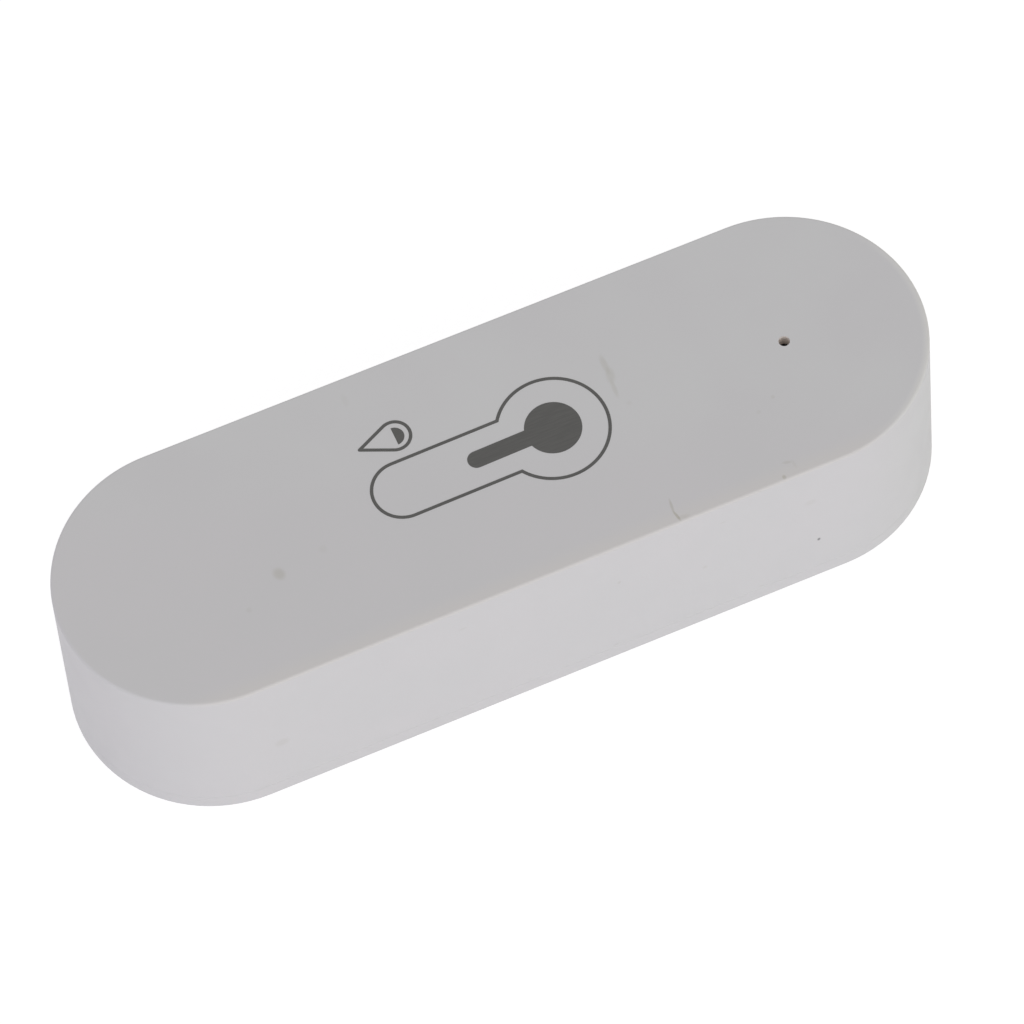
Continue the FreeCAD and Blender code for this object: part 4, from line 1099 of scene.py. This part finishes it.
def screw_mesh(name, head_radius, shank_radius, length, pitch):
    """A screw pointing up, the top of its head at height 0. All in mm."""
    bm = bmesh.new()
    root_radius = ROOT * shank_radius
    side = rounded(
        [(0.0, CROWN * head_radius), (0.0, head_radius), (SCREW_HEAD, head_radius)],
        {1: (1 - CROWN) * head_radius})
    side.append((SCREW_HEAD, root_radius))
    rings = [add_ring(bm, disc((0, 0), radius, SCREW_STEPS), height) for height, radius in side]
    for lower, upper in zip(rings, rings[1:]):
        join_rings(bm, lower, upper)
    mouth, floor = [
        add_ring(bm, cross((0, 0), reach * head_radius, half * head_radius), height)
        for (reach, half), height in ((RECESS_MOUTH, 0.0), (RECESS_FLOOR, RECESS_DEPTH * SCREW_HEAD))]
    join_rings(bm, mouth, floor)
    fill_flat(bm, ring_edges(bm, rings[0]) + ring_edges(bm, mouth), False)
    fill_flat(bm, ring_edges(bm, floor), False)

    below = rings[-1]
    count = round((length - SCREW_HEAD) / pitch * ROWS_PER_PITCH)
    for row in range(1, count + 1):
        height = SCREW_HEAD + (length - SCREW_HEAD) * row / count
        point = min(1.0, POINT + (1 - POINT) * (length - height) / (POINT_PITCHES * pitch))
        outline = []
        for index, (x, y) in enumerate(disc((0, 0), point, SCREW_STEPS)):
            away = abs((height / pitch - index / SCREW_STEPS + 0.5) % 1.0 - 0.5)
            radius = root_radius + (shank_radius - root_radius) * max(0.0, 1.0 - away / RIDGE)
            outline.append((x * radius, y * radius))
        above = add_ring(bm, outline, height)
        join_rings(bm, below, above)
        below = above
    fill_flat(bm, ring_edges(bm, below), True)
    return closed_mesh(bm, name, "screw_steel")


def make_screws():
    for node, head_radius, shank_radius, pitch, seed, points_up in SCREWS:
        boxes = separate_boxes(node)
        length = boxes[0][1].z - boxes[0][0].z
        pattern = screw_mesh(node + "_pattern", head_radius, shank_radius, length, pitch)
        places = [foot(*box) for box in boxes]
        if not points_up:
            pattern.transform(Matrix.Rotation(pi, 4, "X"))
            places = [(x, y, z + length) for x, y, z in places]
        mesh = repeated_mesh(node[:-1] + "_set", pattern, places, pi, seed)
        add_part(mesh, node, sharp=SCREW_SHARP)


def make_button():
    """A moulded cap with softened edges and a shallow dish for the fingertip."""
    low, high = box_mm("pairing_button")
    bottom, top = low.z, high.z
    profile = rounded(
        [(bottom + 0.16, 0.0), (bottom + 0.14, 0.7), (bottom, 1.3), (bottom, 1.7), (5.15, 1.7), (5.15, 2.6),
         (6.15, 2.6), (6.15, 1.2), (top, 1.2), (top, 0.0)],
        {1: 0.8, 2: 0.6, 3: 0.2, 4: 0.08, 5: 0.15, 6: 0.15, 7: 0.15, 8: 0.15})
    x, y, _ = foot(low, high)
    mesh = turned_mesh("button_cap", "button_plastic", profile, upright(x, y))
    add_part(mesh, "pairing_button", body="pairing_button")


# What the boards carry

PAD_HEIGHT = 0.03
PAD_REACH = 0.3
SOLDER_REACH = 0.18
# How far flat details are sunk into the surface under them, and how far tracks stand out of it
SUNK = 0.01
TRACK_HEIGHT = 0.025


def make_chips(node, slot, along, end):
    """Chips with metal ends on soldered pads. along is the axis of their length."""
    boxes = separate_boxes(node)
    places = [foot(*box) for box in boxes]
    size = boxes[0][1] - boxes[0][0]
    length = size[along] / 2
    side = size[1 - along] / 2

    def span(start, finish, side, low, high):
        """A box from start to finish along the chip, and to both sides of its middle."""
        corners = [[0, 0, low], [0, 0, high]]
        corners[0][along], corners[1][along] = sorted((start, finish))
        corners[0][1 - along], corners[1][1 - along] = -side, side
        return corners

    core = [span(end - length, length - end, side - 0.02, 0.02, size.z - 0.02)]
    ends = []
    joints = []
    for way in (-1, 1):
        ends.append(span(way * length, way * (length - end), side, PAD_HEIGHT, size.z))
        joints.append(span(
            way * (length + SOLDER_REACH), way * (length - 0.1), side * 0.9, 0.0, size.z * 0.35))
        joints.append(span(way * (length + PAD_REACH), way * (length - end), side + 0.1, 0.0, PAD_HEIGHT))
    for name, material, blocks, edge, steps, *replaced in (
            ("_cores", slot, core, 0.05, 2, node), ("_ends", "nickel_sheet", ends, 0.05, 2),
            ("_joints", "nickel_sheet", joints, 0.012, 1)):
        pattern = block_mesh(node + name + "_pattern", material, blocks, edge, steps)
        add_part(repeated_mesh(node + name, pattern, places), *replaced)


def make_regulator():
    low, high = box_mm("regulator_chip")
    x, y, z = foot(low, high)
    case = [((x - 0.56, low.y, z + 0.1), (x + 0.56, high.y, high.z))]
    add_part(block_mesh("regulator_case", "chip_epoxy", case, 0.1), "regulator_chip")
    legs = []
    for way, rows in ((-1, (-0.95, 0.0, 0.95)), (1, (-0.95, 0.95))):
        for row in rows:
            for near, far, bottom, top in ((0.5, 0.66, 0.06, 0.62), (0.56, 0.8, 0.0, 0.15)):
                start, end = sorted((x + way * near, x + way * far))
                legs.append(((start, y + row - 0.2, z + bottom), (end, y + row + 0.2, z + top)))
    add_part(block_mesh("regulator_legs", "nickel_sheet", legs, 0.04))


def make_indicator():
    low, high = box_mm("indicator_led")
    blocks = [((low.x, low.y + 0.05, low.z + 0.02), (high.x, high.y - 0.05, low.z + 0.22)),
              ((low.x + 0.03, low.y + 0.3, low.z + 0.2), (high.x - 0.03, high.y - 0.3, high.z))]
    add_part(block_mesh("led_case", "led_lens", blocks, 0.06, 3), "indicator_led")
    ends = [((low.x, near, low.z), (high.x, near + 0.28, low.z + 0.24)) for near in (low.y, high.y - 0.28)]
    add_part(block_mesh("led_ends", "nickel_sheet", ends, 0.04))


CAN_BASE = 0.9
BASE_CUT = 1.3


def make_bulk_capacitor():
    """A crimped can on a chamfered base, hanging under the board, with a dark segment on its end."""
    low, high = box_mm("bulk_capacitor")
    x, y, bottom = foot(low, high)
    reach = (high.x - low.x) / 2
    side = reach - 0.02
    base = high.z - CAN_BASE
    profile = rounded(
        [(bottom + 0.08, 0.0), (bottom + 0.08, reach - 0.45), (bottom, reach - 0.4), (bottom, side),
         (base - 1.5, side), (base - 1.15, reach - 0.28), (base - 0.8, side), (base + 0.1, side),
         (base + 0.1, 0.0)],
        {1: 0.05, 3: 0.25, 4: 0.2, 5: 0.2, 6: 0.2})
    add_part(turned_mesh("capacitor_can", "can_aluminium", profile, upright(x, y)), "bulk_capacitor")
    cut = reach - BASE_CUT
    outline = [(x - reach, y - reach), (x + cut, y - reach), (x + reach, y - cut), (x + reach, y + cut),
               (x + cut, y + reach), (x - reach, y + reach)]
    add_part(slab_mesh("capacitor_base", "switch_plastic", ([outline], base + 0.05, high.z)))
    dark = even_arc((x, y), reach - 0.5, pi - 1.0, pi + 1.0)
    add_part(slab_mesh("capacitor_mark", "switch_plastic", ([dark], bottom + 0.05, bottom + 0.09)))


PLATE_INSET = 0.12
PLATE_CORNER = 0.5
PLATE_OPENING = 1.98
PEG_ASIDE = 2.35


def make_switch_trim():
    """The switch's metal plate with its round opening, and the four pegs that hold it."""
    low, high = box_mm("switch_body")
    x, y, bottom = foot(low, high)
    half = (high.x - low.x) / 2 - PLATE_INSET - PLATE_CORNER
    outline = []
    for quarter, corner in enumerate(rectangle(x - half, y - half, x + half, y + half)):
        start = pi / 2 * (quarter - 2)
        outline += arc(corner, PLATE_CORNER, start, start + pi / 2, 4)
    loops = [outline, disc((x, y), PLATE_OPENING, 48)]
    add_part(slab_mesh("switch_plate", "nickel_sheet", (loops, bottom - 0.02, bottom + 0.1)))
    profile = rounded([(-0.045, 0.0), (-0.045, 0.42), (0.1, 0.42), (0.1, 0.0)], {1: 0.03})
    peg = turned_mesh("switch_peg", "switch_plastic", profile, upright(0, 0), 16)
    corners = rectangle(x - PEG_ASIDE, y - PEG_ASIDE, x + PEG_ASIDE, y + PEG_ASIDE)
    add_part(repeated_mesh("switch_pegs", peg, [(*corner, bottom) for corner in corners]))


# Width and points of the tracks in mm: first those with a twin on the board's other side
TWIN_TRACKS = (
    (0.35, ((9.14, 4.1), (9.14, 5.5))),
    (0.25, ((8.4, 3.2), (6.4, 3.2), (5.6, 2.4), (5.0, 2.4))),
    (0.35, ((-20.46, 4.1), (-20.46, 5.5))),
    (0.25, ((-19.8, 3.2), (-17.2, 3.2), (-16.4, 4.0), (-15.6, 4.0))),
    (0.25, ((-21.1, 3.2), (-23.0, 3.2), (-24.4, 4.6), (-27.8, 4.6), (-29.2, 3.2), (-30.8, 3.2))),
    (0.25, ((-26.6, 1.6), (-28.0, 1.6), (-30.8, 1.6))),
)
TRACKS = [(width, [(x, side * y) for x, y in points]) for width, points in TWIN_TRACKS for side in (1, -1)]
TRACKS += (
    (0.9, ((17.1, 5.35), (20.2, 5.35), (20.75, 4.8), (22.2, 4.8))),
    (0.9, ((17.1, -5.35), (19.0, -5.35), (19.8, -6.15), (26.5, -6.15))),
    (0.5, ((24.0, 3.85), (26.2, 3.85), (26.8, 3.25), (26.8, 1.9), (27.2, 1.3), (27.2, 0.7))),
    (0.25, ((24.7, -1.5), (25.8, -1.5), (26.5, -0.9), (27.0, -0.9))),
    (0.25, ((21.8, -1.5), (23.3, -1.5))),
    (0.25, ((21.8, -3.0), (23.3, -3.0))),
    (0.25, ((21.8, -4.5), (23.3, -4.5))),
    (0.25, ((20.3, -1.5), (18.6, -1.5), (17.8, -0.7), (16.0, -0.7))),
    (0.25, ((20.3, -3.0), (18.4, -3.0), (17.6, -2.2), (16.4, -2.2), (15.5, -3.1), (10.4, -3.1))),
    (0.25, ((24.7, -3.0), (29.2, -3.0), (30.4, -1.8), (30.4, 1.6))),
    (0.25, ((24.7, -4.5), (27.0, -4.5), (28.0, -5.5), (33.5, -5.5), (34.2, -4.8), (34.2, -3.4))),
    (0.35, ((9.14, -2.2), (9.14, -1.4), (7.6, 0.2), (7.6, 1.4), (9.14, 2.3))),
)
FINE_TRACK = 0.3
TEST_PADS = [(-31.3, row) for row in (-3.2, -1.6, 0.0, 1.6, 3.2)]
HOLE_ROW = 9.3


def make_board_details():
    """Covered tracks, bare test pads and plated holes on the main board, and solder round the tabs."""
    top = box_mm("main_board")[1].z
    slabs = [([track(points, width)], top - SUNK, top + TRACK_HEIGHT) for width, points in TRACKS]
    add_part(slab_mesh("board_tracks", "covered_copper", *slabs), slot="board_green")
    pads = [([disc(place, 0.5)], top - SUNK, top + 0.035) for place in TEST_PADS]
    for y in (-CELL_ASIDE, CELL_ASIDE):
        outline = [(15.9, y - 1.5), (17.0, y - 1.5), (17.4, y - 1.1), (17.4, y + 1.1), (17.0, y + 1.5),
                   (15.9, y + 1.5)]
        pads.append(([outline, rectangle(16.05, y - 1.1, 16.6, y + 1.1)], top - SUNK, top + 0.12))
    add_part(slab_mesh("board_pads", "nickel_sheet", *pads))
    rings = [disc((0, 0), radius, 12) for radius in (0.26, 0.13)]
    hole = slab_mesh("plated_hole", "nickel_sheet", (rings, -SUNK, 0.03))
    places = [(*points[-1], top) for width, points in TRACKS if width < FINE_TRACK]
    places += [(x, y, top) for x in range(-29, 13, 3) for y in (-HOLE_ROW, HOLE_ROW)]
    add_part(repeated_mesh("board_vias", hole, places))


AERIAL_START = -6.8
AERIAL_STEP = 0.85
AERIAL_FOLDS = 16
AERIAL_WIDTH = 0.35


def make_radio_details():
    """Plated pads along the edges, the folded aerial, and the rim and dimples of the shield."""
    low, high = box_mm("radio_board")
    shield_low, shield_high = box_mm("radio_shield")
    outline = rectangle(-0.4, -0.75, 0.4, 0.75)
    pad = slab_mesh("radio_pad", "nickel_sheet", ([outline], low.z - SUNK, high.z + 0.03))
    columns = [low.x + 1.6 + 1.27 * step for step in range(11)]
    places = [(x, side * (high.y - 0.62), 0.0) for x in columns for side in (-1, 1)]
    add_part(repeated_mesh("radio_pads", pad, places))

    ends = (shield_high.x + 1.0, high.x - 0.5)
    path = []
    for fold in range(AERIAL_FOLDS):
        row = AERIAL_START + AERIAL_STEP * fold
        path += [(ends[fold % 2], row), (ends[1 - fold % 2], row)]
    loops = [track(path, AERIAL_WIDTH)]
    add_part(slab_mesh("radio_aerial", "nickel_sheet", (loops, high.z - SUNK, high.z + TRACK_HEIGHT)))

    left, front, _ = shield_low
    right, back, lid = shield_high
    rims = [rectangle(left + inset, front + inset, right - inset, back - inset) for inset in (1.0, 1.35)]
    add_part(slab_mesh("shield_rim", "shield_steel", (rims, lid - 0.05, lid + 0.06)))
    profile = [(0.05, 0.0), (0.05, 0.2), (0.025, 0.3), (-0.02, 0.36), (-0.05, 0.36), (-0.05, 0.0)]
    dimple = turned_mesh("shield_dimple", "shield_steel", profile, upright(0, 0), 16)
    places = [(left + x, front + y, lid) for x in (3.0, 5.7, 8.3, 11.0) for y in (3.0, 10.0)]
    add_part(repeated_mesh("shield_dimples", dimple, places))


# Marks of the moulds: poles on the carrier, and the faint rings that ejector pins leave

MARK_HEIGHT = 0.12
MARK_REACH = 0.8
MARK_STROKE = 0.22
POLE_PLACES = ((19.3, 1), (-34.6, -1))
CARRIER_PINS = (
    (27.1, 6.4), (27.3, -6.4), (31.6, 7.5), (33.2, -5.6), (27.4, 0.0), (-36.0, 3.0), (-36.0, -3.0))
COVER_PINS = [(x, y) for x in (-28.0, -12.3, -1.2, 14.0) for y in (-7.5, 7.5)] + [(-34.0, 0.0), (22.0, 0.0)]
COVER_PLATE = 1.8


def make_mould_marks():
    below = box_mm("battery_carrier")[0].z
    marks = []
    for x, plus_side in POLE_PLACES:
        for side in (-1, 1):
            y = side * CELL_ASIDE
            outline = track([(x - MARK_REACH, y), (x + MARK_REACH, y)], 2 * MARK_STROKE)
            if side == plus_side:
                outline = cross((x, y), MARK_REACH, MARK_STROKE)
            marks.append(([outline], below - MARK_HEIGHT, below + 0.05))
    add_part(slab_mesh("pole_marks", "carrier_plastic", *marks))
    for name, material, radius, low, high, pins, height, body in (
            ("carrier_pin_marks", "carrier_plastic", 1.1, -0.025, 0.02, CARRIER_PINS, below, "housing"),
            ("cover_pin_marks", "cover_plastic", 1.3, -0.02, 0.025, COVER_PINS, COVER_PLATE, "back_cover")):
        loops = [disc((0, 0), radius), disc((0, 0), radius - 0.1)]
        ring = slab_mesh(name + "_ring", material, (loops, low, high))
        add_part(repeated_mesh(name, ring, [(*pin, height) for pin in pins]), body=body)


cover_plastic()
marking_ink()
moulded_plastic("carrier_plastic", (0.62, 0.62, 0.60, 1), (0.58, 0.58, 0.565, 1), 0.5)
cell_sleeve()
sheet_metal("nickel_sheet", (0.74, 0.72, 0.68, 1), (0.62, 0.60, 0.56, 1), 0.28)
circuit_board("board_green", (0.012, 0.13, 0.055, 1), (0.028, 0.19, 0.085, 1), 0.34)
covered_copper()
circuit_board("radio_board_black", grey(0.016), grey(0.03), 0.34)
sheet_metal("shield_steel", (0.76, 0.76, 0.74, 1), (0.66, 0.66, 0.64, 1), 0.32)
moulded_plastic("led_lens", (0.86, 0.84, 0.73, 1), (0.82, 0.80, 0.68, 1), 0.18, 0.001)
moulded_plastic("chip_epoxy", grey(0.034), grey(0.026), 0.5)
moulded_plastic("capacitor_ceramic", (0.44, 0.32, 0.2, 1), (0.38, 0.27, 0.16, 1), 0.4)
sheet_metal("can_aluminium", (0.80, 0.80, 0.81, 1), (0.70, 0.70, 0.71, 1), 0.3)
moulded_plastic("switch_plastic", grey(0.045), grey(0.036), 0.45)
moulded_plastic("button_plastic", (0.56, 0.57, 0.59, 1), (0.53, 0.54, 0.56, 1), 0.42)
sheet_metal("screw_steel", grey(0.62), grey(0.5), 0.3, (0.3, 0.3, 0.3))
SLOTS = {subpart["node"]: subpart["material_slot"] for subpart in frame["record"]["subparts"]}

for name, node in nodes.items():
    node.data.materials.clear()
    node.data.materials.append(MATERIALS[SLOTS[name]])
    even_normals(node)

make_front_cover()
make_marking()
softened_piece("back_cover", 0.06, "back_cover")
for name, width in (
        ("battery_carrier", 0.1), ("link_contact_plate", 0.05), ("negative_contact_plate", 0.05),
        ("positive_contact_plate", 0.05), ("main_board", 0.05), ("radio_board", 0.05), ("radio_shield", 0.12),
        ("climate_sensor", 0.06), ("switch_body", 0.12), ("switch_terminals", 0.05)):
    softened_piece(name, width)
softened_piece("switch_plunger", 0.15, "pairing_button")
make_cell(1, 1)
make_cell(2, -1)
make_springs()
make_screws()
make_button()
make_chips("chip_capacitors", "capacitor_ceramic", 1, 0.3)
make_chips("chip_resistors", "chip_epoxy", 0, 0.2)
make_regulator()
make_indicator()
make_bulk_capacitor()
make_switch_trim()
make_board_details()
make_radio_details()
make_mould_marks()
